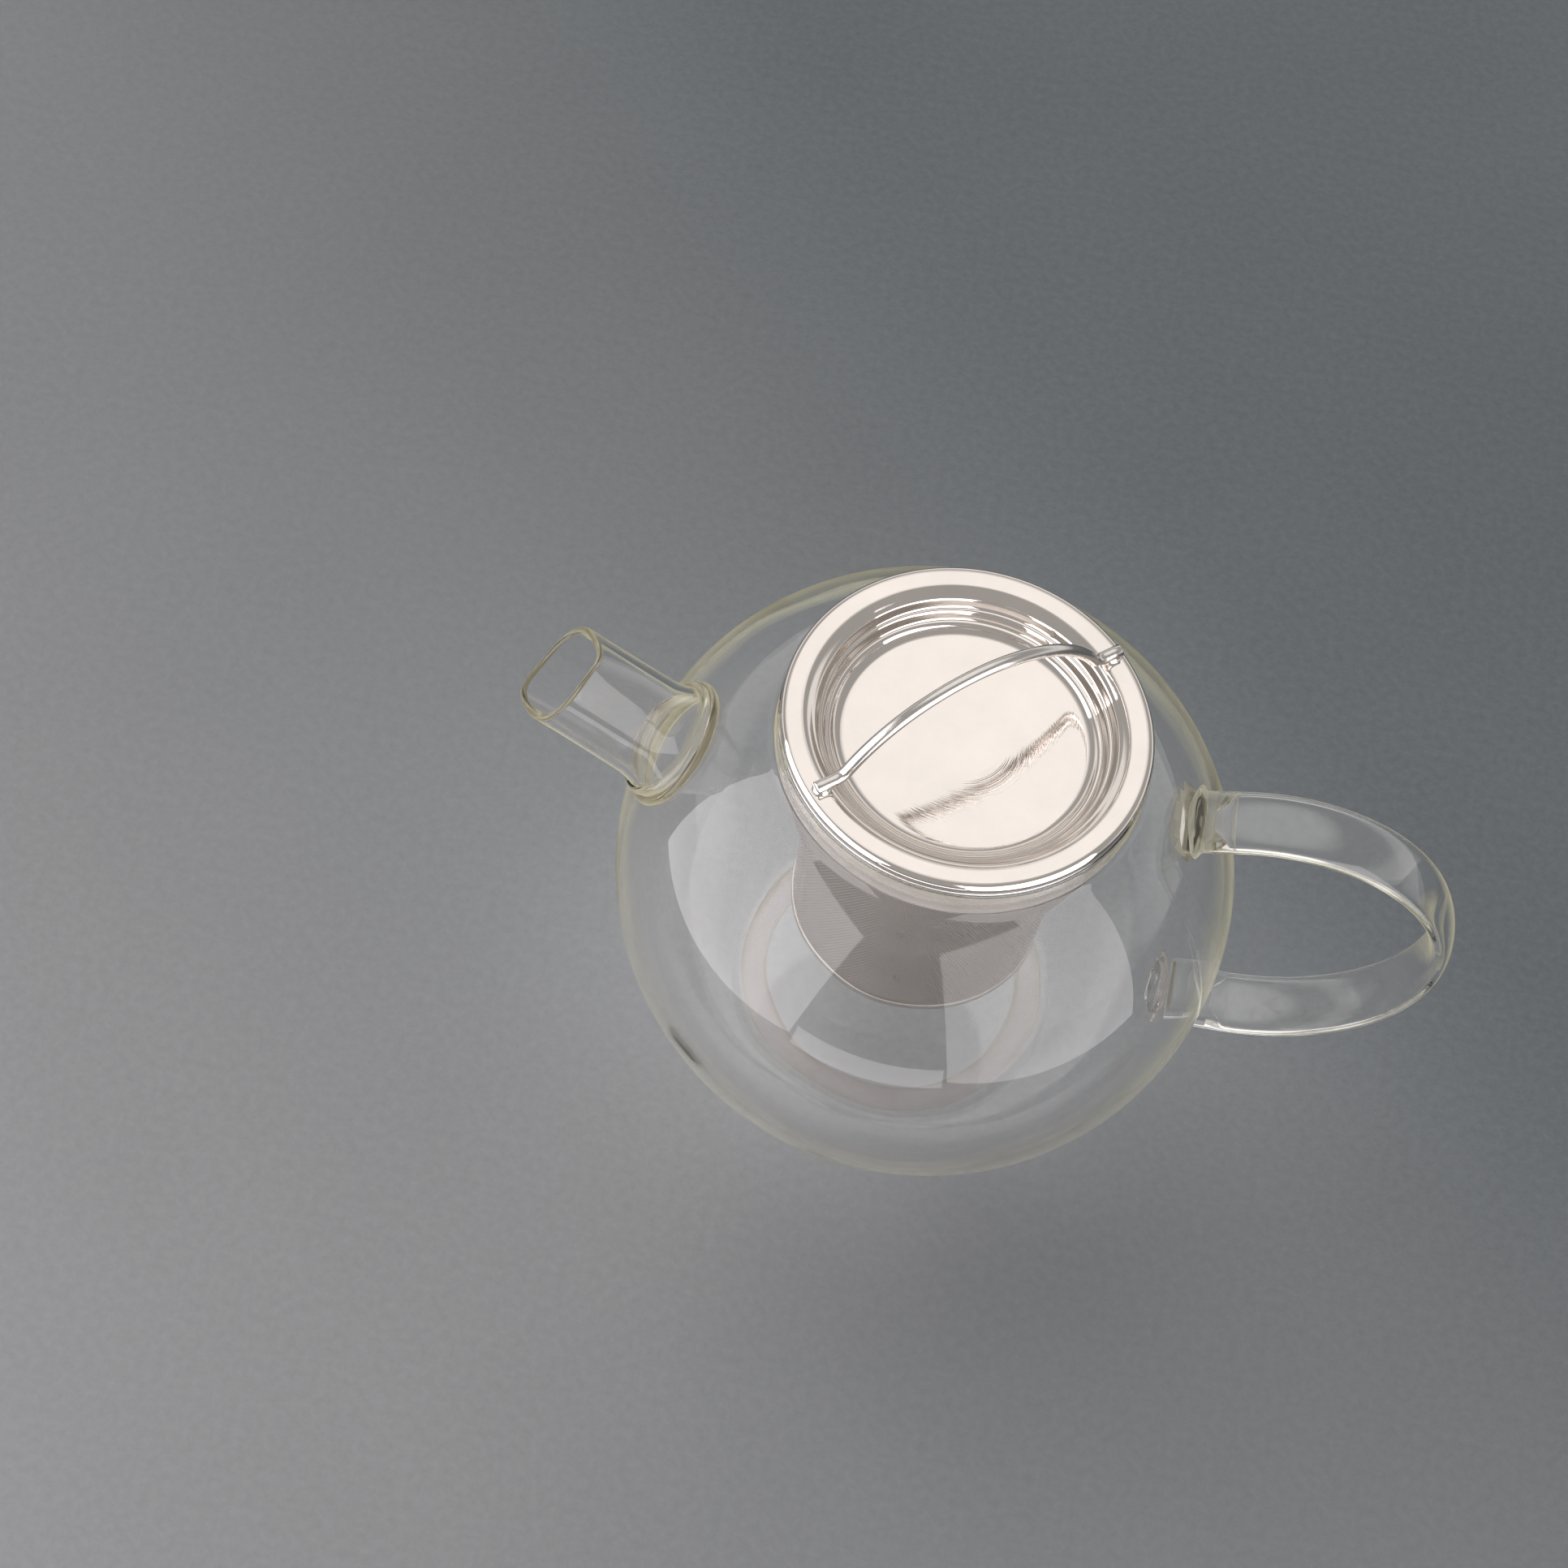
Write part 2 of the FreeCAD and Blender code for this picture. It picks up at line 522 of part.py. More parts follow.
def bail_path(body, name):
    """Two feet, two tight bends and one wide arch, all in one upright plane."""
    path = new_sketch(body, name)
    level = "(size.lid_crest_height + size.bail_seat + size.wire_radius)"
    arch = value("size.bail_arch_radius")
    bend = value("size.bail_bend_radius")
    foot_height = value(level)
    crest = value("size.lid_crest_height + size.bail_height")
    hub = FreeCAD.Vector(0, crest - arch, 0)
    bend_height = foot_height + bend
    bend_across = math.sqrt((arch + bend) ** 2 - (bend_height - hub.y) ** 2)
    lean = math.atan2(bend_height - hub.y, bend_across)
    reach = value("size.bail_foot_reach")
    down = -math.pi / 2
    right_bend = FreeCAD.Vector(bend_across, bend_height, 0)
    left_bend = FreeCAD.Vector(-bend_across, bend_height, 0)
    left_foot = FreeCAD.Vector(-bend_across, foot_height, 0)
    right_foot = FreeCAD.Vector(bend_across, foot_height, 0)
    path.addGeometry(Part.LineSegment(FreeCAD.Vector(-reach, foot_height, 0), left_foot))
    path.addGeometry(Part.ArcOfCircle(Part.Circle(left_bend, Z_AXIS, bend), down, -lean))
    path.addGeometry(Part.ArcOfCircle(Part.Circle(hub, Z_AXIS, arch), lean, math.pi - lean))
    path.addGeometry(Part.ArcOfCircle(Part.Circle(right_bend, Z_AXIS, bend),
                                      math.pi + lean, math.pi * 1.5))
    path.addGeometry(Part.LineSegment(right_foot, FreeCAD.Vector(reach, foot_height, 0)))
    pin_point(path, 0, 1, "-size.bail_foot_reach", level)
    pin_point(path, 4, 2, "size.bail_foot_reach", level)
    path.addConstraint(Sketcher.Constraint("Horizontal", 0))
    path.addConstraint(Sketcher.Constraint("Horizontal", 4))
    path.addConstraint(Sketcher.Constraint("Tangent", 0, 2, 1, 1))
    path.addConstraint(Sketcher.Constraint("Tangent", 1, 2, 2, 2))
    path.addConstraint(Sketcher.Constraint("Tangent", 2, 1, 3, 1))
    path.addConstraint(Sketcher.Constraint("Tangent", 3, 2, 4, 1))
    path.addConstraint(Sketcher.Constraint("PointOnObject", 2, 3, -2))
    constrain(path, "Radius", 1, "size.bail_bend_radius")
    constrain(path, "Radius", 3, "size.bail_bend_radius")
    constrain(path, "Radius", 2, "size.bail_arch_radius")
    constrain(path, "DistanceY", 2, 3,
              "size.lid_crest_height + size.bail_height - size.bail_arch_radius")
    doc.recompute()
    return path


def lid_bail():
    bail = bent_rod("lid_bail", bail_path, round_section, "size.wire_radius")
    place(bail, Z_AXIS, "size.bail_angle")
    nuggets = []
    for side in ("", "-"):
        nugget = cylinder("nugget", "size.nugget_radius", "(size.bail_seat + size.nugget_rise)")
        angle = "(size.bail_angle * 1 deg)"
        place(nugget, Z_AXIS, "0", x=f"{side}size.nugget_reach * cos{angle}",
              y=f"{side}size.nugget_reach * sin{angle}", z="size.lid_crest_height")
        nuggets.append(nugget)
    pair = doc.addObject("Part::Compound", "nugget_pair")
    pair.Links = nuggets
    return bail, cut("bail_spot_welds", pair, bail)


def build():
    bulb_outside, bulb = glass_bulb()
    bail, nuggets = lid_bail()
    lid = lid_dish()
    pieces = [bulb, *spout(bulb_outside), *handle(bulb_outside), infuser_collar(),
              *infuser_basket(), lid, bail, nuggets]
    doc.recompute()
    for thing in doc.Objects:
        if "Invalid" in thing.State or "Error" in thing.State:
            raise RuntimeError(f"{thing.Label} failed: {thing.State}")
    os.makedirs("parts", exist_ok=True)
    for piece in pieces:
        if piece.Shape.isNull() or not piece.Shape.isValid():
            raise RuntimeError(piece.Label + " is not a valid shape")
        piece.Shape.exportStep(os.path.join("parts", piece.Label + ".step"))
        box = piece.Shape.BoundBox
        print(f"{piece.Label:20} {len(piece.Shape.Solids)} solid(s) {piece.Shape.Volume:9.1f} mm3",
              f"x {box.XMin:.1f}..{box.XMax:.1f} y {box.YMin:.1f}..{box.YMax:.1f}",
              f"z {box.ZMin:.1f}..{box.ZMax:.1f}")


build()
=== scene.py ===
import bmesh
import bpy
import math
from mathutils import Matrix, Vector, noise


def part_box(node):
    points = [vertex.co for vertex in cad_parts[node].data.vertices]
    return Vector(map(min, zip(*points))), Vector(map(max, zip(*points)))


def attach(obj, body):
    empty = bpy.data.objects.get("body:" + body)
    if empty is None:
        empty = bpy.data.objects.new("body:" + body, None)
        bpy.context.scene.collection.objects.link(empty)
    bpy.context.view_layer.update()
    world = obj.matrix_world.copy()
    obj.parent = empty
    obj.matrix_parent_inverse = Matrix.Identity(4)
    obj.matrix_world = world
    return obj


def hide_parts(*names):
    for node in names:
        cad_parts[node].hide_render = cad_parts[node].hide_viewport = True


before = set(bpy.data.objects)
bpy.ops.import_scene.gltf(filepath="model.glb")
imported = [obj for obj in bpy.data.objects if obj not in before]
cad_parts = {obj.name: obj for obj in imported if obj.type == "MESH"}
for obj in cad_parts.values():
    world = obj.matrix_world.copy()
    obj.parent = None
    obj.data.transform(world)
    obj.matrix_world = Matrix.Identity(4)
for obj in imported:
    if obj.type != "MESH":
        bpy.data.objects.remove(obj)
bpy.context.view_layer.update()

# A blown glass teapot with a perforated steel infuser and a polished steel lid.
# Metres, +Z up, origin on the table under the bulb's axis.
MM = 0.001
TAU = 2 * math.pi
WELD_DISTANCE = 5e-6            # closer points than this are one point

# ------------------------------------------------------------------ measures
BULB_LOW, BULB_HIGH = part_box("glass_bulb")
BULB_RADIUS = (BULB_HIGH.x - BULB_LOW.x) / 2
BULB_CENTRE = 58.5 * MM
ARC_RADIUS = 65.95 * MM          # the arc that the bulb is turned from
ARC_RING = BULB_RADIUS - ARC_RADIUS
NECK_RADIUS = 43.3 * MM
GLASS_RIM = BULB_HIGH.z
GLASS_WALL = 2.0 * MM
GLASS_BASE = 2.8 * MM
RIM_LIP = 0.9 * MM               # the rounding of the neck's outer edge
NECK_BEYOND = 4 * MM             # how far the cutting shape runs past the rim
GLASS_SHARP = math.radians(38)   # edges above this angle are shaded sharp
WAVE_HEIGHT = 0.22 * MM          # of the bulb's inner surface
WAVE_LENGTH = 22 * MM
WAVES_FROM = 6 * MM              # height above which it is wavy
FOOT_FILLET = 5 * MM
CREASE_FILLET = 3.5 * MM

SPOUT_FOOT = Vector((-65.8 * MM, 0, 92.1 * MM))     # where its axis leaves the bulb
SPOUT_RISE = math.radians(35)
SPOUT_AXIS = Vector((-math.cos(SPOUT_RISE), 0, math.sin(SPOUT_RISE)))
SPOUT_NORMAL = math.radians(30.6)                   # the bulb's own slope there
SPOUT_UP = Vector((math.sin(SPOUT_RISE), 0, math.cos(SPOUT_RISE)))
SPOUT_RADIUS = 12.0 * MM
SPOUT_WALL = 1.7 * MM
SPOUT_LENGTH = 34 * MM
SPOUT_BURIED = 7 * MM            # how far its outside starts within the bulb
BORE_BURIED = 9 * MM             # and its inside
BORE_BEYOND = 3 * MM             # how far the cutting shape runs past the mouth
RIM_ROUND = 0.75 * MM
FLARE_LENGTH = 9 * MM            # the spout's flared root
FLARE_SIZE = 2.0 * MM
SPOUT_TAPER = 0.5 * MM           # how much wider it is at the root
MOUTH_START = 18 * MM            # where it begins to change into the mouth
MOUTH_WIDER = 0.25 * MM
MOUTH_OVAL = 0.2 * MM
LIP_REACH = 1.7 * MM             # the pouring lip, outwards
LIP_RUN = 1.3 * MM               # and along the spout
CREST_REACH = 1.1 * MM           # the small rise opposite it
CREST_RUN = 0.9 * MM

ROOT_BEAD = (14.9 * MM, 1.2 * MM, 2.4 * MM)         # radius, thickness, length
ROOT_BEAD_SINK = 1.0 * MM
SPOUT_BEAD = (13.6 * MM, 1.3 * MM, 2.6 * MM)
SPOUT_BEAD_AT = 1.2              # millimetres along the spout

HANDLE_START = Vector((53.4 * MM, 0, 103.9 * MM))
HANDLE_RISE = math.radians(19.4)
HANDLE_HALF_WIDTH = 8.35 * MM
HANDLE_HALF_DEPTH = 3.0 * MM
HANDLE_WALL = 1.5 * MM
HANDLE_STRAIGHT = 15.4 * MM
HANDLE_TAIL = 10 * MM
HANDLE_BENDS = ((42.3 * MM, 89.6), (35.6 * MM, 19.0), (46.6 * MM, 87.8))    # radius, degrees
HOLLOW_SKIP = 7                  # path points left solid at each end of the handle
BORE_START = 0.4                 # the bore's share of its full size at its very ends
BORE_STEP = 0.2                  # and how much it gains from one point to the next

UPPER_LUMP = Vector((58.0, 0, 105.55)) * MM
UPPER_LUMP_SIZES = (3.0 * MM, 4.7 * MM, 9.9 * MM)   # half sizes: length, depth, width
LOWER_LUMP = Vector((66.4, 0, 24.0)) * MM
LOWER_LUMP_SIZES = (2.6 * MM, 4.4 * MM, 9.6 * MM)
UPPER_WELD = Vector((58.0, 0, 105.5)) * MM          # the middle of what is painted as weld
UPPER_WELD_REACH = (-7 * MM, 3.5 * MM)              # along the handle, from its middle
WELD_ZONES = ((UPPER_WELD, 10.6 * MM), (LOWER_LUMP, 10.2 * MM), (SPOUT_FOOT, 17 * MM))
WELD_STANDS = (0.15 * MM, 3.6 * MM)                 # least and most height off the bulb
FOOT_RING_TOP = 3.2 * MM
FOOT_RING_INSIDE = 31 * MM
FOOT_RING_OUTSIDE = 38.6 * MM

LID_LOW, LID_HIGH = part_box("lid_dish")
LID_CREST = LID_HIGH.z
LID_RADIUS = (LID_HIGH.x - LID_LOW.x) / 2
LID_LOW_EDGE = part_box("infuser_collar")[1].z + 0.1 * MM
WALL_LOW, WALL_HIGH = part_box("infuser_wall")
SHEET = 0.7 * MM                 # the collar's and the lid's steel
BAND_DEPTH = 10.4 * MM           # the brushed band of the collar
COLLAR_PLAY = 0.3 * MM           # between the band and the glass
SPIGOT_RADIUS = 32.1 * MM
STRAINER_SHEET = 0.4 * MM
WALL_TAPER = 2.4 * MM            # how much smaller the strainer's radius is at its foot
HOLE_PITCH = 0.85 * MM
HOLE_RADIUS = 0.34               # in hole pitches, as the next two are
HOLE_SOFT = 0.03
HOLE_BURR = 0.12                 # the rounded edge round each hole

WIRE = 1.5 * MM                  # the bail's wire, its radius
BAIL_ANGLE = math.radians(40.5)
BAIL_ARCH = 38.8 * MM
BAIL_BEND = 4.5 * MM
BAIL_REACH = 41.3 * MM
BAIL_STANDS = 0.15 * MM          # between the lid's crest and the wire's underside
BAIL_RISE = 21.9 * MM            # from the lid's crest to the top of the wire's centreline
SPOT_WELD_OUT = 39.3 * MM        # from the lid's axis
SPOT_WELD_SUNK = 0.1 * MM
SPOT_WELD_FOOT = 2.6 * MM        # its radius at its foot
SPOT_WELD_DRAW = 1.1 * MM        # and how much less it is at its top


# ------------------------------------------------------------- mesh builders
def arc(across, up, radius, start, end, steps):
    """Points along an arc, from one angle to another in degrees."""
    points = []
    for i in range(steps + 1):
        angle = math.radians(start + (end - start) * i / steps)
        points.append((across + radius * math.cos(angle), up + radius * math.sin(angle)))
    return points


def new_object(name, mesh):
    """A mesh as an object of the scene."""
    thing = bpy.data.objects.new(name, mesh)
    bpy.context.scene.collection.objects.link(thing)
    return thing


def finish_mesh(name, build, sharp=None):
    """An object from a bmesh, with smooth shading up to a sharp angle."""
    bmesh.ops.remove_doubles(build, verts=build.verts, dist=1e-7)
    bmesh.ops.recalc_face_normals(build, faces=build.faces)
    mesh = bpy.data.meshes.new(name)
    build.to_mesh(mesh)
    build.free()
    for face in mesh.polygons:
        face.use_smooth = True
    if sharp is not None:
        mesh.set_sharp_from_angle(angle=math.radians(sharp))
    return new_object(name, mesh)


def ring_strip(build, rings, closed=False):
    """Quads between rings of vertices. A ring of one vertex is a tip."""
    pairs = list(zip(rings, rings[1:]))
    if closed:
        pairs.append((rings[-1], rings[0]))
    for low, high in pairs:
        count = max(len(low), len(high))
        for i in range(count):
            j = (i + 1) % count
            corners = [low[i % len(low)], low[j % len(low)],
                       high[j % len(high)], high[i % len(high)]]
            unique = list(dict.fromkeys(corners))
            if len(unique) > 2:
                build.faces.new(unique)


def lathe(name, profile, steps=256, closed=False, sharp=None):
    """A profile of (radius, height) turned about Z."""
    build = bmesh.new()
    rings = []
    for radius, height in profile:
        count = 1 if radius < 1e-9 else steps
        ring = []
        for i in range(count):
            angle = TAU * i / count
            ring.append(build.verts.new((radius * math.cos(angle), radius * math.sin(angle), height)))
        rings.append(ring)
    ring_strip(build, rings, closed)
    return finish_mesh(name, build, sharp=sharp)


def tube(name, path, depths, widths=None, sides=48, sharp=None):
    """A rod along a path in the XZ plane, with closed ends. depths gives the
    section's half size in that plane at each point, widths the one along Y."""
    build = bmesh.new()
    widths = widths or depths
    across = Vector((0, 1, 0))
    rings = []
    for i, point in enumerate(path):
        ahead = (path[min(i + 1, len(path) - 1)] - path[max(i - 1, 0)]).normalized()
        out = across.cross(ahead).normalized()
        ring = []
        for k in range(sides):
            angle = TAU * k / sides
            offset = out * math.cos(angle) * depths[i] + across * math.sin(angle) * widths[i]
            ring.append(build.verts.new(point + offset))
        rings.append(ring)
    ring_strip(build, [[build.verts.new(path[0])], *rings, [build.verts.new(path[-1])]])
    return finish_mesh(name, build, sharp=sharp)


def combine(target, tool, operation):
    """Apply a boolean with an exact solver, then drop the tool."""
    step = target.modifiers.new("combine", "BOOLEAN")
    step.object = tool
    step.operation = operation
    step.solver = "EXACT"
    graph = bpy.context.evaluated_depsgraph_get()
    mesh = bpy.data.meshes.new_from_object(target.evaluated_get(graph))
    target.modifiers.clear()
    build = bmesh.new()
    build.from_mesh(mesh)
    bmesh.ops.remove_doubles(build, verts=build.verts, dist=WELD_DISTANCE)
    bmesh.ops.dissolve_degenerate(build, dist=WELD_DISTANCE, edges=build.edges)
    build.to_mesh(mesh)
    build.free()
    target.data = mesh
    bpy.data.objects.remove(tool)


def turned_onto(thing, foot, axis, up):
    """Bake a thing built about Z onto another axis, with X along up."""
    side = axis.cross(up)
    frame_matrix = Matrix((up, side, axis)).transposed().to_4x4()
    frame_matrix.translation = foot
    thing.data.transform(frame_matrix)


# ------------------------------------------------------------------- the pot
def bulb_profile(inset, bottom, top):
    """Half outline of the bulb and neck from the axis up to the neck's top."""
    big = ARC_RADIUS - inset
    foot_drop = BULB_CENTRE - bottom - FOOT_FILLET
    foot_out = math.sqrt((big - FOOT_FILLET) ** 2 - foot_drop ** 2)
    foot_angle = math.degrees(math.atan2(-foot_drop, foot_out))
    crease = CREASE_FILLET + inset
    crease_out = NECK_RADIUS - inset + crease - ARC_RING
    crease_rise = math.sqrt((big + crease) ** 2 - crease_out ** 2)
    crease_angle = math.degrees(math.atan2(crease_rise, crease_out))
    points = [(0, bottom)]
    points += [((ARC_RING + foot_out) * i / 6, bottom) for i in range(1, 6)]
    points += arc(ARC_RING + foot_out, bottom + FOOT_FILLET, FOOT_FILLET, -90, foot_angle, 10)
    points += arc(ARC_RING, BULB_CENTRE, big, foot_angle, crease_angle, 96)[1:]
    points += arc(ARC_RING + crease_out, BULB_CENTRE + crease_rise, crease,
                  crease_angle - 180, -180, 10)[1:]
    points.append((NECK_RADIUS - inset, top))
    return points


def glass_form(name, inset, bottom, top, lip=0.0):
    """A full turned form of the bulb, with a rounded lip if asked for."""
    points = bulb_profile(inset, bottom, top - lip)
    if lip:
        points += arc(NECK_RADIUS - inset - lip, top - lip, lip, 0, 90, 6)[1:]
    points.append((0, top))
    return lathe(name, points)


def rim_round(along, length):
    """How far a fire-polished rim has drawn in from its wall at this point."""
    left = max(0.0, min(1.0, (along - length + RIM_ROUND) / RIM_ROUND))
    return RIM_ROUND * (1 - math.sqrt(1 - left ** 2))


def spout_form(name, inset, start, beyond):
    """The spout about its own axis: flared root, round tube, and an oval
    mouth that is pinched into a pouring lip on its lower side."""
    build = bmesh.new()
    rings = []
    steps = 70
    rim_steps = 10
    sides = 128
    length = SPOUT_LENGTH + beyond
    marks = [start + (SPOUT_LENGTH - RIM_ROUND - start) * i / steps for i in range(steps)]
    marks += [SPOUT_LENGTH - RIM_ROUND * math.cos(TAU / 4 * i / rim_steps)
              for i in range(rim_steps + 1)]
    if beyond:
        marks.append(length)
    for along in marks:
        root = max(0.0, 1 - along / FLARE_LENGTH) if along > 0 else 1.0
        radius = SPOUT_RADIUS + SPOUT_TAPER * (1 - along / SPOUT_LENGTH) + FLARE_SIZE * root ** 2.2
        drawn = rim_round(min(along, SPOUT_LENGTH), SPOUT_LENGTH)
        radius += drawn - inset if inset else -drawn
        spread = max(0.0, (along - MOUTH_START) / (SPOUT_LENGTH - MOUTH_START))
        ring = []
        for k in range(sides):
            angle = TAU * k / sides
            x = math.cos(angle)
            y = math.sin(angle)
            lip = max(0.0, -x) ** 5
            crest = max(0.0, x) ** 9
            stretch = MOUTH_OVAL * x ** 2 + LIP_REACH * lip + CREST_REACH * crest
            reach = radius + spread ** 2 * stretch
            ring.append(build.verts.new((x * reach, y * (radius + MOUTH_WIDER * spread ** 2),
                                         along + spread ** 3 * mouth_shift(x))))
        rings.append(ring)
    low = build.verts.new((0, 0, start))
    high = build.verts.new((0, 0, length))
    ring_strip(build, [[low], *rings, [high]])
    form = finish_mesh(name, build)
    turned_onto(form, SPOUT_FOOT, SPOUT_AXIS, SPOUT_UP)
    return form


def handle_path():
    """Points along the handle's centreline, from its upper end to its lower one."""
    heading = HANDLE_RISE
    point = HANDLE_START.copy()
    ahead = Vector((math.cos(heading), 0, math.sin(heading)))
    straight_steps = 12
    bend_steps = 56
    tail_steps = 8
    path = [point + ahead * HANDLE_STRAIGHT * i / straight_steps for i in range(straight_steps + 1)]
    point = path[-1].copy()
    for radius, sweep in HANDLE_BENDS:
        turn = math.radians(sweep) / bend_steps
        for _ in range(bend_steps):
            chord = 2 * radius * math.sin(turn / 2)
            point = point + Vector((math.cos(heading - turn / 2), 0,
                                    math.sin(heading - turn / 2))) * chord
            heading -= turn
            path.append(point)
    ahead = Vector((math.cos(heading), 0, math.sin(heading)))
    path += [point + ahead * HANDLE_TAIL * i / tail_steps for i in range(1, tail_steps + 1)]
    return path


def lump(name, foot, axis, half_sizes, rough):
    """A rounded lump of fused glass round the handle's end. rough is the
    height of its bumps as a share of its size."""
    half_length, half_depth, half_width = half_sizes
    flatten = 1.6
    bumps = 2.6
    build = bmesh.new()
    bmesh.ops.create_uvsphere(build, u_segments=72, v_segments=36, radius=1)
    for vertex in build.verts:
        way = vertex.co.copy()
        grow = 1 + rough * noise.noise(way * bumps + foot * 900)
        squared = abs(way.z) ** flatten * math.copysign(1, way.z)
        vertex.co = Vector((way.x * half_depth, way.y * half_width, squared * half_length)) * grow
    thing = finish_mesh(name, build)
    turned_onto(thing, foot, axis.normalized(), Vector((axis.z, 0, -axis.x)).normalized())
    return thing


def bead(name, foot, axis, radius, thickness, length):
    """A fused ring of glass round an axis, with a soft barrel section."""
    sides = 24
    barrel = 0.75
    wobble_size = 0.25 * MM
    wobble_scale = 180
    profile = []
    for i in range(sides):
        angle = TAU * i / sides
        soft = abs(math.cos(angle)) ** barrel * math.copysign(1, math.cos(angle))
        profile.append((radius + thickness * soft, length / 2 * math.sin(angle)))
    ring = lathe(name, profile, steps=96, closed=True)
    for vertex in ring.data.vertices:
        wobble = noise.noise(vertex.co * wobble_scale + Vector((radius, length, 0)) * 4000)
        vertex.co += Vector((vertex.co.x, vertex.co.y, 0)).normalized() * wobble * wobble_size
    up = Vector((axis.z, 0, -axis.x))
    turned_onto(ring, foot, axis.normalized(), up.normalized())
    return ring


def wave_glass(thing, height, size):
    """Slow hand-blown waviness of a surface, everywhere above its flat base."""
    for vertex in thing.data.vertices:
        amount = noise.noise(vertex.co / size) * height
        out = Vector((vertex.co.x, vertex.co.y, vertex.co.z - BULB_CENTRE)).normalized()
        if vertex.co.z > WAVES_FROM:
            vertex.co += out * amount


def handle_bore(path):
    """The handle's hollow, which narrows at both of its closed ends."""
    hollow = path[HOLLOW_SKIP:-HOLLOW_SKIP]
    last = len(hollow) - 1
    fill = [min(1, BORE_START + BORE_STEP * min(i, last - i)) for i in range(len(hollow))]
    return tube("handle_inside", hollow, [(HANDLE_HALF_DEPTH - HANDLE_WALL) * part for part in fill],
                [(HANDLE_HALF_WIDTH - HANDLE_WALL) * part for part in fill], sides=64)


def make_pot():
    """The welded glass body: outsides joined first, then the hollows cut."""
    normal = Vector((-math.cos(SPOUT_NORMAL), 0, math.sin(SPOUT_NORMAL)))
    path = handle_path()
    rise = Vector((math.cos(HANDLE_RISE), 0, math.sin(HANDLE_RISE)))
    fall = (path[-1] - path[-2]).normalized()
    pot = glass_form("glass_pot", 0, 0, GLASS_RIM, lip=RIM_LIP)
    combine(pot, bead("bead_root", SPOUT_FOOT - normal * ROOT_BEAD_SINK, normal,
                      *ROOT_BEAD), "UNION")
    combine(pot, spout_form("spout_outside", 0, -SPOUT_BURIED, 0), "UNION")
    combine(pot, bead("bead_spout", SPOUT_FOOT + SPOUT_AXIS * SPOUT_BEAD_AT * MM, SPOUT_AXIS,
                      *SPOUT_BEAD), "UNION")
    combine(pot, tube("handle_outside", path, [HANDLE_HALF_DEPTH] * len(path),
                      [HANDLE_HALF_WIDTH] * len(path), sides=64), "UNION")
    combine(pot, lump("weld_upper", UPPER_LUMP, rise, UPPER_LUMP_SIZES, 0.05), "UNION")
    combine(pot, lump("weld_lower", LOWER_LUMP, fall, LOWER_LUMP_SIZES, 0.16), "UNION")
    inside = glass_form("bulb_inside", GLASS_WALL, GLASS_BASE, GLASS_RIM + NECK_BEYOND)
    wave_glass(inside, WAVE_HEIGHT, WAVE_LENGTH)
    combine(inside, spout_form("spout_inside", SPOUT_WALL, -BORE_BURIED, BORE_BEYOND), "UNION")
    combine(pot, inside, "DIFFERENCE")
    combine(pot, handle_bore(path), "DIFFERENCE")
    for face in pot.data.polygons:
        face.use_smooth = True
    pot.data.set_sharp_from_angle(angle=GLASS_SHARP)
    return pot


def paint_pot(pot, weld, foot_ring):
    """Give the welds and the spout's rim, and the thick ring of the foot,
    their own glass, which differs in its painted glow: strong on the welds and the
    rim, standing in for bright light seen through them, and fainter on the foot ring
    and on welds in the lower half, painted as if less lit there."""
    pot.data.materials.append(weld)
    pot.data.materials.append(foot_ring)
    for face in pot.data.polygons:
        centre = face.center
        welded = any((centre - middle).length < reach and stands_off_bulb(centre)
                     for middle, reach in WELD_ZONES)
        # welds below the bulb's middle get the fainter painted glow, as if less lit there
        if welded and centre.z < BULB_CENTRE:
            face.material_index = 2
        elif welded or on_mouth(centre) or in_upper_weld(centre):
            face.material_index = 1
        elif centre.z < FOOT_RING_TOP and on_foot_ring(math.hypot(centre.x, centre.y)):
            face.material_index = 2


def in_upper_weld(point):
    """True in the handle's upper weld, and on the bulb's inner wall behind it."""
    off = point - UPPER_WELD
    along = off.x * math.cos(HANDLE_RISE) + off.z * math.sin(HANDLE_RISE)
    up = off.z * math.cos(HANDLE_RISE) - off.x * math.sin(HANDLE_RISE)
    half_depth, half_width = UPPER_LUMP_SIZES[1:]
    inside = math.hypot(up / half_depth, off.y / half_width) < 1
    return inside and UPPER_WELD_REACH[0] < along < UPPER_WELD_REACH[1]


def on_foot_ring(radius):
    """True within the thick ring that the bulb stands on."""
    return FOOT_RING_INSIDE < radius < FOOT_RING_OUTSIDE


def on_mouth(point):
    """True on the spout's fire-polished rim."""
    from_foot = point - SPOUT_FOOT
    along = from_foot.dot(SPOUT_AXIS)
    round_it = Vector((from_foot.dot(SPOUT_UP), from_foot.y)).normalized()
    return along - mouth_shift(round_it.x) > SPOUT_LENGTH - RIM_ROUND * 1.2


def mouth_shift(x):
    """How far the mouth's edge runs out at the lip, and back at its crest."""
    return LIP_RUN * max(0.0, -x) ** 9 - CREST_RUN * max(0.0, x) ** 12


def stands_off_bulb(point):
    """True just outside the bulb's plain surface, where fused glass stands up."""
    ring = math.hypot(point.x, point.y) - ARC_RING
    off_bulb = math.hypot(ring, point.z - BULB_CENTRE) - ARC_RADIUS
    return WELD_STANDS[0] < off_bulb < WELD_STANDS[1]


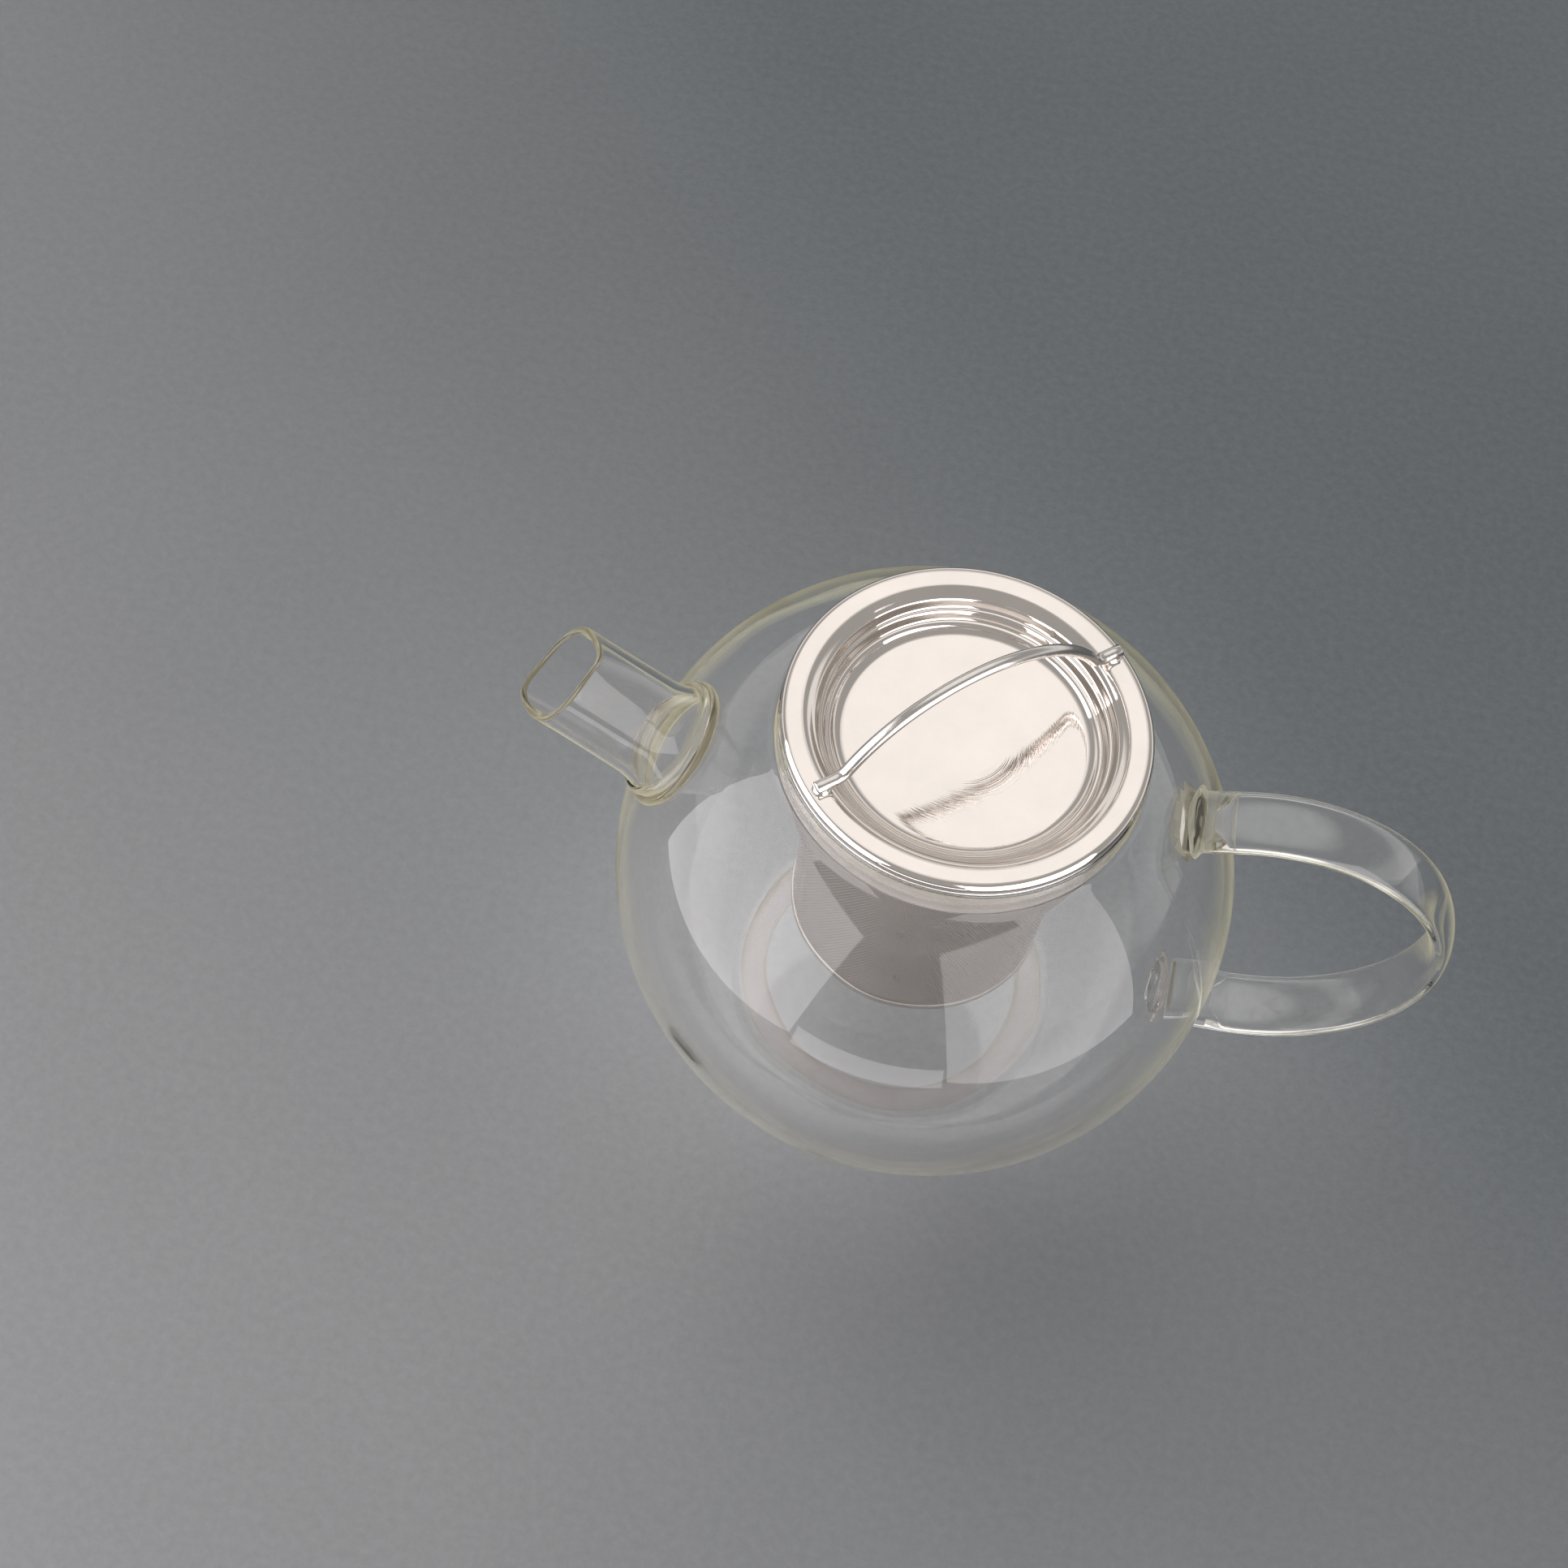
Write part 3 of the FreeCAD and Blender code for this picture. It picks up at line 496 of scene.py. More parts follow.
# --------------------------------------------------------------- the infuser
def disc_uv(thing):
    """UVs in hole pitches for the strainer: round the wall, or flat on the floor."""
    mesh = thing.data
    layer = mesh.uv_layers.new(name="holes")
    radius = (WALL_HIGH.x - WALL_LOW.x) / 2 - WALL_TAPER / 2
    around = round(TAU * radius / HOLE_PITCH)
    for face in mesh.polygons:
        flat = abs(face.normal.z) > 0.7
        angles = [math.atan2(mesh.vertices[i].co.y, mesh.vertices[i].co.x) for i in face.vertices]
        wraps = max(angles) - min(angles) > math.pi
        for loop, angle in zip(face.loop_indices, angles):
            co = mesh.vertices[mesh.loops[loop].vertex_index].co
            if flat:
                layer.data[loop].uv = (co.x / HOLE_PITCH, co.y / HOLE_PITCH)
            else:
                turn = angle + TAU if wraps and angle < 0 else angle
                layer.data[loop].uv = (turn / TAU * around, co.z / HOLE_PITCH)


def make_wall():
    """The strainer's tapered wall, of thin sheet."""
    low = WALL_LOW.z
    high = WALL_HIGH.z
    top = (WALL_HIGH.x - WALL_LOW.x) / 2
    bottom = top - WALL_TAPER
    steps = 12
    outer = [(bottom + (top - bottom) * i / steps, low + (high - low) * i / steps)
             for i in range(steps + 1)]
    inner = [(radius - STRAINER_SHEET, height) for radius, height in reversed(outer)]
    wall = lathe("strainer_wall", outer + inner, closed=True, sharp=40)
    disc_uv(wall)
    return wall


def make_floor():
    """The strainer's flat floor."""
    low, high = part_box("infuser_floor")
    radius = (high.x - low.x) / 2
    rings = 8
    top = [(radius * i / rings, high.z) for i in range(rings, -1, -1)]
    under = [(radius * i / rings, low.z) for i in range(rings + 1)]
    floor = lathe("strainer_floor", under + top, sharp=40)
    disc_uv(floor)
    return floor


def make_hem():
    """The folded hem round the strainer's foot: a soft rolled edge."""
    low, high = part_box("infuser_floor_hem")
    radius = (high.x - low.x) / 2
    profile = [(radius - 0.45 * MM, low.z), (radius - 0.1 * MM, low.z + 0.05 * MM),
               (radius, low.z + 0.5 * MM), (radius, high.z - 0.5 * MM),
               (radius - 0.1 * MM, high.z - 0.1 * MM), (radius - 0.4 * MM, high.z),
               (radius - 0.42 * MM, (low.z + high.z) / 2)]
    return lathe("strainer_hem", profile, closed=True, sharp=50)


def make_collar():
    """Flange, brushed band with rolled edges, shoulder and spigot."""
    low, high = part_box("infuser_collar")
    flange = (high.x - low.x) / 2
    steel = SHEET
    band = NECK_RADIUS - GLASS_WALL - COLLAR_PLAY
    shoulder = GLASS_RIM - BAND_DEPTH
    spigot = SPIGOT_RADIUS
    bevel = 0.5 * MM
    under_flange = 0.6 * MM          # inner radius of the bend under the flange
    inner_bend = 1.2 * MM
    outer_bend = 1.6 * MM
    spigot_bend = 0.8 * MM
    points = arc(flange - steel / 2, GLASS_RIM + steel / 2, steel / 2, -90, 90, 6)
    points += [(band - steel + bevel, high.z), (band - steel, high.z - bevel)]
    points += [(band - steel, shoulder + inner_bend)]
    points += arc(band - steel - inner_bend, shoulder + inner_bend, inner_bend, 0, -90, 6)[1:]
    points += [(spigot - steel + bevel, shoulder), (spigot - steel, shoulder - bevel)]
    points += [(spigot - steel, low.z), (spigot - 0.02 * MM, low.z)]
    points += [(spigot, shoulder - steel - spigot_bend)]
    points += arc(spigot + spigot_bend, shoulder - steel - spigot_bend, spigot_bend, 180, 90, 4)[1:]
    points += arc(band - outer_bend, shoulder - steel + outer_bend, outer_bend, -90, 0, 8)
    points += [(band, GLASS_RIM - under_flange)]
    points += arc(band + under_flange, GLASS_RIM - under_flange, under_flange, 180, 90, 4)[1:]
    return lathe("collar", points, closed=True, sharp=60)


# ------------------------------------------------------------------- the lid
def make_dish():
    """Pressed dish: rounded edge, crowned rim, stepped wall, flat floor."""
    crest = LID_CREST
    steel = SHEET
    # (radius, drop below the crest) in mm, from the axis outwards
    top = [(0, 8.86), (1.5, 8.84), (4, 8.75), (8, 8.66), (14, 8.62), (20, 8.63), (24, 8.68),
           (26.6, 8.72),
           (28.3, 8.55), (29.3, 8.2), (30.2, 7.65), (30.9, 7.0), (31.4, 6.72), (31.8, 6.6),
           (32.1, 6.3), (32.5, 5.6), (33.0, 4.75), (33.3, 4.45), (33.7, 4.3), (34.0, 3.95),
           (34.4, 3.2), (34.8, 2.45), (35.1, 2.1), (35.6, 1.75), (36.3, 1.15), (37.0, 0.62),
           (37.8, 0.25), (38.8, 0.06), (39.8, 0.0), (40.8, 0.03), (41.6, 0.14), (42.2, 0.38)]
    points = [(radius * MM, crest - drop * MM) for radius, drop in smooth_curve(top, 4)]
    edge = LID_RADIUS
    points += [(edge - 0.45 * MM, crest - 0.7 * MM), (edge - 0.12 * MM, crest - 1.2 * MM),
               (edge, crest - 1.8 * MM), (edge, LID_LOW_EDGE + 0.25 * MM),
               (edge - 0.1 * MM, LID_LOW_EDGE), (edge - 0.6 * MM, LID_LOW_EDGE),
               (edge - steel, LID_LOW_EDGE + 0.25 * MM), (edge - steel, crest - 1.8 * MM),
               (edge - steel - 0.4 * MM, crest - 1.2 * MM)]
    under = [(radius + 0.25 * steel / MM, drop + steel / MM * 0.95)
             for radius, drop in smooth_curve(top, 2) if radius < 40.5]
    points += [(radius * MM, crest - drop * MM) for radius, drop in reversed(under)]
    points.append((0, crest - top[0][1] * MM - steel))
    return lathe("lid_pressing", points, steps=320, sharp=50)


def smooth_curve(points, steps):
    """A Catmull-Rom curve through given points."""
    out = []
    for i in range(len(points) - 1):
        p0 = points[max(i - 1, 0)]
        p1 = points[i]
        p2 = points[i + 1]
        p3 = points[min(i + 2, len(points) - 1)]
        for k in range(steps):
            t = k / steps
            out.append(tuple(
                0.5 * (2 * b + (c - a) * t + (2 * a - 5 * b + 4 * c - d) * t ** 2
                       + (3 * b - a - 3 * c + d) * t ** 3)
                for a, b, c, d in zip(p0, p1, p2, p3)))
    out.append(points[-1])
    return out


def bail_path():
    """Foot, bend, arch, bend, foot: points in the bail's own XZ plane."""
    foot = LID_CREST + BAIL_STANDS + WIRE
    hub = LID_CREST + BAIL_RISE - BAIL_ARCH
    bend_up = foot + BAIL_BEND
    bend_out = math.sqrt((BAIL_ARCH + BAIL_BEND) ** 2 - (bend_up - hub) ** 2)
    lean = math.degrees(math.atan2(bend_up - hub, bend_out))
    right = [(BAIL_REACH, foot), (BAIL_REACH - 0.2 * MM, foot), ((BAIL_REACH + bend_out) / 2, foot)]
    right += arc(bend_out, bend_up, BAIL_BEND, 270, 180 + lean, 14)
    half = arc(0, hub, BAIL_ARCH, lean, 90, 48)
    path = right + half[1:]
    path += [(-x, z) for x, z in reversed(path[:-1])]
    return [Vector((x, 0, z)) for x, z in path]


def make_bail():
    """The lid's arched wire handle, with its ends eased a little."""
    path = bail_path()
    eased = 0.2 * MM
    radii = [WIRE] * len(path)
    radii[0] = WIRE - eased
    radii[-1] = WIRE - eased
    bail = tube("bail_wire", path, radii, sides=32, sharp=50)
    bail.data.transform(Matrix.Rotation(BAIL_ANGLE, 4, "Z"))
    return bail


def make_nuggets():
    """The two spot welds: low mounds of steel under and beside each foot."""
    levels = 8
    sides = 40
    height = 0.9 * MM
    rough = 0.08
    along = 0.95
    across = 0.85
    build = bmesh.new()
    for side in (1, -1):
        centre = Vector((SPOT_WELD_OUT * side, 0, LID_CREST - SPOT_WELD_SUNK))
        rings = []
        for i in range(levels + 1):
            climb = i / levels
            spread = SPOT_WELD_FOOT - SPOT_WELD_DRAW * climb ** 0.6
            ring = []
            for k in range(sides):
                angle = TAU * k / sides
                grow = 1 + rough * noise.noise(Vector((math.cos(angle), math.sin(angle), side)) * 2)
                ring.append(build.verts.new(centre + Vector((
                    math.cos(angle) * spread * grow * along, math.sin(angle) * spread * grow * across,
                    climb * height))))
            rings.append(ring)
        ring_strip(build, [[build.verts.new(centre)], *rings,
                           [build.verts.new(centre + Vector((0, 0, height)))]])
    welds = finish_mesh("bail_welds", build, sharp=60)
    welds.data.transform(Matrix.Rotation(BAIL_ANGLE, 4, "Z"))
    return welds


# ----------------------------------------------------------------- materials
GLOW_RISES = (50 * MM, 85 * MM)  # heights between which the blown glass's painted glow grows to its full; below them it is painted fainter, as if lit from above
ABSORBED = 9.0                   # density of the glass's tint


class Nodes:
    """Short calls for building a material's nodes."""

    def __init__(self, name):
        self.material = bpy.data.materials.new(name)
        self.material.use_nodes = True
        self.tree = self.material.node_tree
        self.tree.nodes.clear()
        self.output = self.tree.nodes.new("ShaderNodeOutputMaterial")

    def add(self, kind, inputs=None, **settings):
        """A shader node with its settings and its inputs, values or links."""
        node = self.tree.nodes.new("ShaderNode" + kind)
        for key, setting in settings.items():
            setattr(node, key, setting)
        for key, given in (inputs or {}).items():
            self.put(node.inputs[key], given)
        return node

    def put(self, socket, given):
        """Feed a socket from another one, or with a value."""
        if isinstance(given, bpy.types.NodeSocket):
            self.tree.links.new(given, socket)
        else:
            socket.default_value = given

    def math(self, operation, *values):
        """The outcome of one step of arithmetic on values or sockets."""
        node = self.add("Math", operation=operation)
        for socket, given in zip(node.inputs, values):
            self.put(socket, given)
        return node.outputs[0]

    def ramp(self, factor, span, outcome):
        """Change steadily from one outcome to the other over a span of the factor."""
        node = self.add("MapRange", {0: factor, 1: span[0], 2: span[1], 3: outcome[0], 4: outcome[1]})
        return node.outputs[0]

    def surface(self, socket):
        """Close the material with this shader on its surface."""
        self.tree.links.new(socket, self.output.inputs["Surface"])
        return self.material


def glass_material(name, colour, edge, start, full, least, most, low_share=1.0):
    """Clear glass. It lets light through to the floor without caustics. Seen
    nearly edge on it shows a painted glow: a translucent layer in the edge colour,
    standing in for light caught in its wall. least and most are that glow's share
    face on and edge on, start and full are where it begins and ends growing, and
    low_share is what is left of it in the bulb's lower half, painted fainter there
    as if lit from above."""
    nodes = Nodes(name)
    place = nodes.add("TexCoord").outputs["Object"]
    seeds = nodes.add("TexNoise", {"Vector": place, "Scale": 24.0, "Detail": 1.0})
    bump = nodes.add("Bump", {"Height": seeds.outputs[0], "Strength": 0.02, "Distance": 0.001})
    plain = nodes.add("BsdfPrincipled", {
        "Base Color": colour, "Roughness": 0.0, "IOR": 1.473,
        "Transmission Weight": 1.0, "Normal": bump.outputs[0]})
    # painted glow: a pale translucent layer in the edge colour, standing in for light caught in the
    # glass wall
    painted_glow = nodes.add("BsdfTranslucent", {"Color": edge})
    grazing = nodes.add("LayerWeight", {"Blend": 0.5}).outputs["Facing"]
    streaks = nodes.add("TexNoise", {"Vector": place, "Scale": 60.0, "Detail": 3.0})
    height = nodes.add("SeparateXYZ", {0: place}).outputs[2]
    share = nodes.math("MULTIPLY", nodes.ramp(grazing, (start, full), (least, most)),
                       nodes.ramp(streaks.outputs[0], (0.3, 0.7), (0.7, 1.0)))
    # painted light: the glow fades to low_share in the lower half, as if lit from above
    share = nodes.math("MULTIPLY", share, nodes.ramp(height, GLOW_RISES, (low_share, 1.0)))
    glass = nodes.add("MixShader", {0: share, 1: plain.outputs[0], 2: painted_glow.outputs[0]})
    clear = nodes.add("BsdfTransparent", {"Color": (0.985, 0.985, 0.985, 1)})
    shadow = nodes.add("LightPath").outputs["Is Shadow Ray"]
    mixed = nodes.add("MixShader", {0: shadow, 1: glass.outputs[0], 2: clear.outputs[0]})
    tint = nodes.add("VolumeAbsorption", {"Color": (0.975, 0.96, 0.88, 1), "Density": ABSORBED})
    nodes.tree.links.new(tint.outputs[0], nodes.output.inputs["Volume"])
    return nodes.surface(mixed.outputs[0])


def steel_base(nodes, colour, roughness, relief, strength, distance):
    """Bare steel with a fine relief."""
    bump = nodes.add("Bump", {"Height": relief, "Strength": strength, "Distance": distance})
    return nodes.add("BsdfPrincipled", {"Base Color": colour, "Metallic": 1.0,
                                        "Roughness": roughness, "Normal": bump.outputs[0]})


def radius_of(nodes, place):
    """Distance from the pot's axis."""
    flat = nodes.add("VectorMath", {0: place, 1: (1, 1, 0)}, operation="MULTIPLY")
    length = nodes.add("VectorMath", {0: flat.outputs[0]}, operation="LENGTH")
    return length.outputs["Value"]


def polished_material():
    """Spun and polished sheet: fine rings and faint smears."""
    nodes = Nodes("spun_polished_steel")
    place = nodes.add("TexCoord").outputs["Object"]
    radius = radius_of(nodes, place)
    ring_place = nodes.add("CombineXYZ", {0: radius})
    rings = nodes.add("TexNoise", {"Vector": ring_place.outputs[0], "Scale": 2600.0, "Detail": 3.0})
    smear = nodes.add("TexNoise", {"Vector": place, "Scale": 55.0, "Detail": 5.0, "Roughness": 0.65})
    rough = nodes.math("ADD", nodes.ramp(rings.outputs[0], (0.35, 0.65), (0.025, 0.06)),
                       nodes.ramp(smear.outputs[0], (0.45, 0.75), (0.0, 0.04)))
    colour = nodes.add("MixRGB", {0: nodes.ramp(smear.outputs[0], (0.3, 0.7), (0.0, 1.0)),
                                  1: (0.80, 0.745, 0.70, 1), 2: (0.735, 0.69, 0.65, 1)})
    waves = nodes.math("MULTIPLY", smear.outputs[0], 1.2)
    steel = steel_base(nodes, colour.outputs[0], rough, nodes.math("ADD", rings.outputs[0], waves),
                       0.1, 0.0002)
    return nodes.surface(steel.outputs[0])


def brushed_material():
    """Satin sheet brushed round the band."""
    nodes = Nodes("brushed_band_steel")
    place = nodes.add("TexCoord").outputs["Object"]
    stretched = nodes.add("VectorMath", {0: place, 1: (1, 1, 60)}, operation="MULTIPLY")
    streaks = nodes.add("TexNoise", {"Vector": stretched.outputs[0], "Scale": 70.0, "Detail": 6.0,
                                     "Roughness": 0.7})
    cloud = nodes.add("TexNoise", {"Vector": place, "Scale": 30.0, "Detail": 2.0})
    rough = nodes.math("ADD", nodes.ramp(streaks.outputs[0], (0.3, 0.7), (0.26, 0.42)),
                       nodes.ramp(cloud.outputs[0], (0.4, 0.7), (0.0, 0.06)))
    colour = nodes.add("MixRGB", {0: streaks.outputs[0], 1: (0.82, 0.77, 0.74, 1),
                                  2: (0.96, 0.90, 0.87, 1)})
    steel = steel_base(nodes, colour.outputs[0], rough, streaks.outputs[0], 0.25, 0.0003)
    return nodes.surface(steel.outputs[0])


def wire_material():
    """Drawn and polished wire."""
    nodes = Nodes("polished_wire_steel")
    place = nodes.add("TexCoord").outputs["Object"]
    scuffs = nodes.add("TexNoise", {"Vector": place, "Scale": 420.0, "Detail": 4.0})
    rough = nodes.ramp(scuffs.outputs[0], (0.35, 0.75), (0.17, 0.28))
    colour = nodes.add("MixRGB", {0: scuffs.outputs[0], 1: (0.70, 0.67, 0.64, 1),
                                  2: (0.60, 0.57, 0.545, 1)})
    steel = steel_base(nodes, colour.outputs[0], rough, scuffs.outputs[0], 0.05, 0.0002)
    return nodes.surface(steel.outputs[0])


def strainer_material():
    """Thin sheet with round holes in staggered rows, 60 degrees apart. The
    holes UV map counts in hole pitches."""
    nodes = Nodes("perforated_steel")
    place = nodes.add("UVMap", uv_map="holes").outputs[0]
    split = nodes.add("SeparateXYZ", {0: place})
    rows = math.sqrt(3)

    def offset(socket, period, shift):
        """How far along one way from the nearest hole's middle."""
        moved = nodes.math("DIVIDE", nodes.math("ADD", socket, shift), period)
        part = nodes.math("SUBTRACT", nodes.math("FRACT", moved), 0.5)
        return nodes.math("MULTIPLY", part, period)

    def distance(shift_across, shift_up):
        """How far from the nearest hole of one of the two sets of rows."""
        across = offset(split.outputs[0], 1.0, shift_across)
        up = offset(split.outputs[1], rows, shift_up)
        squares = nodes.math("ADD", nodes.math("MULTIPLY", across, across),
                             nodes.math("MULTIPLY", up, up))
        return nodes.math("SQRT", squares)

    nearest = nodes.math("MINIMUM", distance(0.0, 0.0), distance(0.5, rows / 2))
    solid = nodes.ramp(nearest, (HOLE_RADIUS - HOLE_SOFT, HOLE_RADIUS + HOLE_SOFT), (0.0, 1.0))
    edge = nodes.ramp(nearest, (HOLE_RADIUS, HOLE_RADIUS + HOLE_BURR), (0.0, 1.0))
    cloud = nodes.add("TexNoise", {"Vector": place, "Scale": 0.06, "Detail": 2.0})
    rough = nodes.ramp(cloud.outputs[0], (0.3, 0.7), (0.27, 0.33))
    colour = nodes.add("MixRGB", {0: cloud.outputs[0], 1: (0.68, 0.62, 0.585, 1),
                                  2: (0.73, 0.67, 0.635, 1)})
    steel = steel_base(nodes, colour.outputs[0], rough, edge, 0.15, 0.00005)
    clear = nodes.add("BsdfTransparent")
    mixed = nodes.add("MixShader", {0: solid, 1: clear.outputs[0], 2: steel.outputs[0]})
    return nodes.surface(mixed.outputs[0])


def floor_material():
    """Pale, matt table top, mottled, with painted light: a little lighter towards one corner, as if
    more light fell there.
    """
    nodes = Nodes("pale_table")
    place = nodes.add("TexCoord").outputs["Object"]
    broad = nodes.add("TexNoise", {"Vector": place, "Scale": 7.0, "Detail": 3.0})
    fine = nodes.add("TexNoise", {"Vector": place, "Scale": 420.0, "Detail": 4.0, "Roughness": 0.7})
    grain = nodes.ramp(fine.outputs[0], (0.3, 0.7), (0.0, 1.0))
    speckle = nodes.math("ADD", nodes.math("MULTIPLY", broad.outputs[0], 0.55),
                         nodes.math("MULTIPLY", grain, 0.45))
    # painted light: the table is lighter towards -X and -Y, as if more light fell there
    across = nodes.add("VectorMath", {0: place, 1: (-0.75, -0.66, 0)}, operation="DOT_PRODUCT")
    painted_light_falloff = nodes.ramp(across.outputs["Value"], (-0.15, 0.17), (0.0, 1.0))
    # the table's colour where it is painted as shaded, and where it is painted as lit
    dark = nodes.add("MixRGB", {0: speckle, 1: (0.215, 0.243, 0.27, 1), 2: (0.35, 0.385, 0.415, 1)})
    pale = nodes.add("MixRGB", {0: speckle, 1: (0.50, 0.52, 0.55, 1), 2: (0.68, 0.70, 0.74, 1)})
    colour = nodes.add("MixRGB", {0: painted_light_falloff, 1: dark.outputs[0], 2: pale.outputs[0]})
    table = nodes.add("BsdfPrincipled", {"Base Color": colour.outputs[0], "Roughness": 0.55,
                                         "Specular IOR Level": 0.3})
    return nodes.surface(table.outputs[0])


# ------------------------------------------------------------ light and view
WARM_WHITE = (1, 0.965, 0.93)
PANEL_WHITE = (1, 0.955, 0.965)
KEY = 2.1                # brightness of the light that casts the shadows
ROOM_FRONT = 0.42        # the room's brightness low down in front, as seen and reflected
ROOM_BACK = 0.95         # low down behind and at the sides
ROOM_HIGH = 1.2          # and overhead
ROOM_ON_FLOOR = 0.14     # the whole room as a light on matt surfaces
OVERHEAD = (-0.10, 0.34, 0.935)     # the middle of the bright part overhead
FLOOR_SIZE = 6

CAMERA_AZIMUTH = -1.3    # degrees
CAMERA_ELEVATION = 58.64
CAMERA_ROLL = 13.03
CAMERA_DISTANCE = 886.9 * MM
AIM_RIGHT = 34.03 * MM   # how far the bulb's centre is right of the middle of the view
AIM_DOWN = 20.61 * MM    # and below it
LENS = 83.85             # millimetres, as the sensor's width
SENSOR_WIDTH = 36


def make_stage():
    """The table top, a hair below the foot."""
    bpy.ops.mesh.primitive_plane_add(size=FLOOR_SIZE)
    floor = bpy.context.object
    floor.name = "floor"
    floor.location.z = -0.05 * MM
    floor.data.materials.append(floor_material())


def softbox(name, azimuth, elevation, distance, width, height, radiance,
            lights_floor=True, mirrored=True, colour=WARM_WHITE):
    """A rectangular light that faces the pot. Azimuth 0 is the front, -Y,
    and 90 is +X. Its power follows from its size and its brightness."""
    light = bpy.data.lights.new(name, "AREA")
    light.shape = "RECTANGLE"
    light.size = width
    light.size_y = height
    light.energy = radiance * math.pi * width * height
    light.color = colour
    lamp = bpy.data.objects.new(name, light)
    a = math.radians(azimuth)
    e = math.radians(elevation)
    away = Vector((math.sin(a) * math.cos(e), -math.cos(a) * math.cos(e), math.sin(e)))
    lamp.location = Vector((0, 0, BULB_CENTRE)) + away * distance
    lamp.rotation_euler = away.to_track_quat("Z", "Y").to_euler()
    lamp.visible_camera = False
    lamp.visible_diffuse = lights_floor
    lamp.visible_transmission = lights_floor and mirrored
    lamp.visible_glossy = mirrored
    bpy.context.scene.collection.objects.link(lamp)


KEY_PLACE = (-150, 56, 2.75)            # azimuth, elevation, distance
KEY_SIZE = (2.0, 1.55)
# name, azimuth, elevation, distance, width, height, brightness
PANELS = (("panel_left", -60, 14, 0.27, 0.36, 0.34, 3.6),
          ("panel_right", 44, 14, 0.27, 0.30, 0.34, 2.9),
          ("panel_low", -5.6, -9, 0.27, 0.205, 0.05, 3.0))


def make_lights():
    """One softbox above and behind casts the shadows. White panels at the front
    show in the glass and steel, with a dark gap between them, and the pale room
    is brighter overhead."""
    softbox("key_overhead_back", *KEY_PLACE, *KEY_SIZE, KEY, mirrored=False)
    for panel in PANELS:
        softbox(*panel, lights_floor=False, colour=PANEL_WHITE)
    world = bpy.data.worlds.new("studio")
    world.use_nodes = True
    bpy.context.scene.world = world
    tree = world.node_tree
    tree.nodes.clear()
    output = tree.nodes.new("ShaderNodeOutputWorld")
    path = tree.nodes.new("ShaderNodeLightPath")
    sky = tree.nodes.new("ShaderNodeTexCoord")
    split = tree.nodes.new("ShaderNodeSeparateXYZ")
    seen = tree.nodes.new("ShaderNodeMix")
    seen.inputs[3].default_value = ROOM_ON_FLOOR
    background = tree.nodes.new("ShaderNodeBackground")
    background.inputs["Color"].default_value = (1.0, 0.975, 0.95, 1)
    wall = ramp_node(tree, (-0.3, 0.2), (0.0, ROOM_BACK - ROOM_FRONT))
    strip = ramp_node(tree, (0.2, 0.36), (1.0, 0.0))
    over = ramp_node(tree, (0.76, 0.92), (0.0, 1.0))
    low = tree.nodes.new("ShaderNodeMath")
    low.operation = "MULTIPLY_ADD"
    low.inputs[2].default_value = ROOM_FRONT
    toward = tree.nodes.new("ShaderNodeVectorMath")
    toward.operation = "DOT_PRODUCT"
    toward.inputs[1].default_value = OVERHEAD
    blend = tree.nodes.new("ShaderNodeMix")
    blend.inputs[3].default_value = ROOM_HIGH
    for start, end in ((sky.outputs["Generated"], split.inputs[0]),
                       (sky.outputs["Generated"], toward.inputs[0]),
                       (split.outputs["Y"], wall.inputs["Value"]),
                       (split.outputs["Z"], strip.inputs["Value"]),
                       (toward.outputs["Value"], over.inputs["Value"]),
                       (wall.outputs[0], low.inputs[0]),
                       (strip.outputs[0], low.inputs[1]),
                       (over.outputs[0], blend.inputs[0]),
                       (low.outputs[0], blend.inputs[2]),
                       (path.outputs["Is Diffuse Ray"], seen.inputs[0]),
                       (blend.outputs[0], seen.inputs[2]),
                       (seen.outputs[0], background.inputs["Strength"]),
                       (background.outputs[0], output.inputs[0])):
        tree.links.new(start, end)


def ramp_node(tree, span, outcome):
    """A smooth change from one outcome to the other over a span of the value."""
    node = tree.nodes.new("ShaderNodeMapRange")
    node.interpolation_type = "SMOOTHSTEP"
    for socket, amount in zip(("From Min", "From Max", "To Min", "To Max"),
                              (*span, *outcome)):
        node.inputs[socket].default_value = amount
    return node


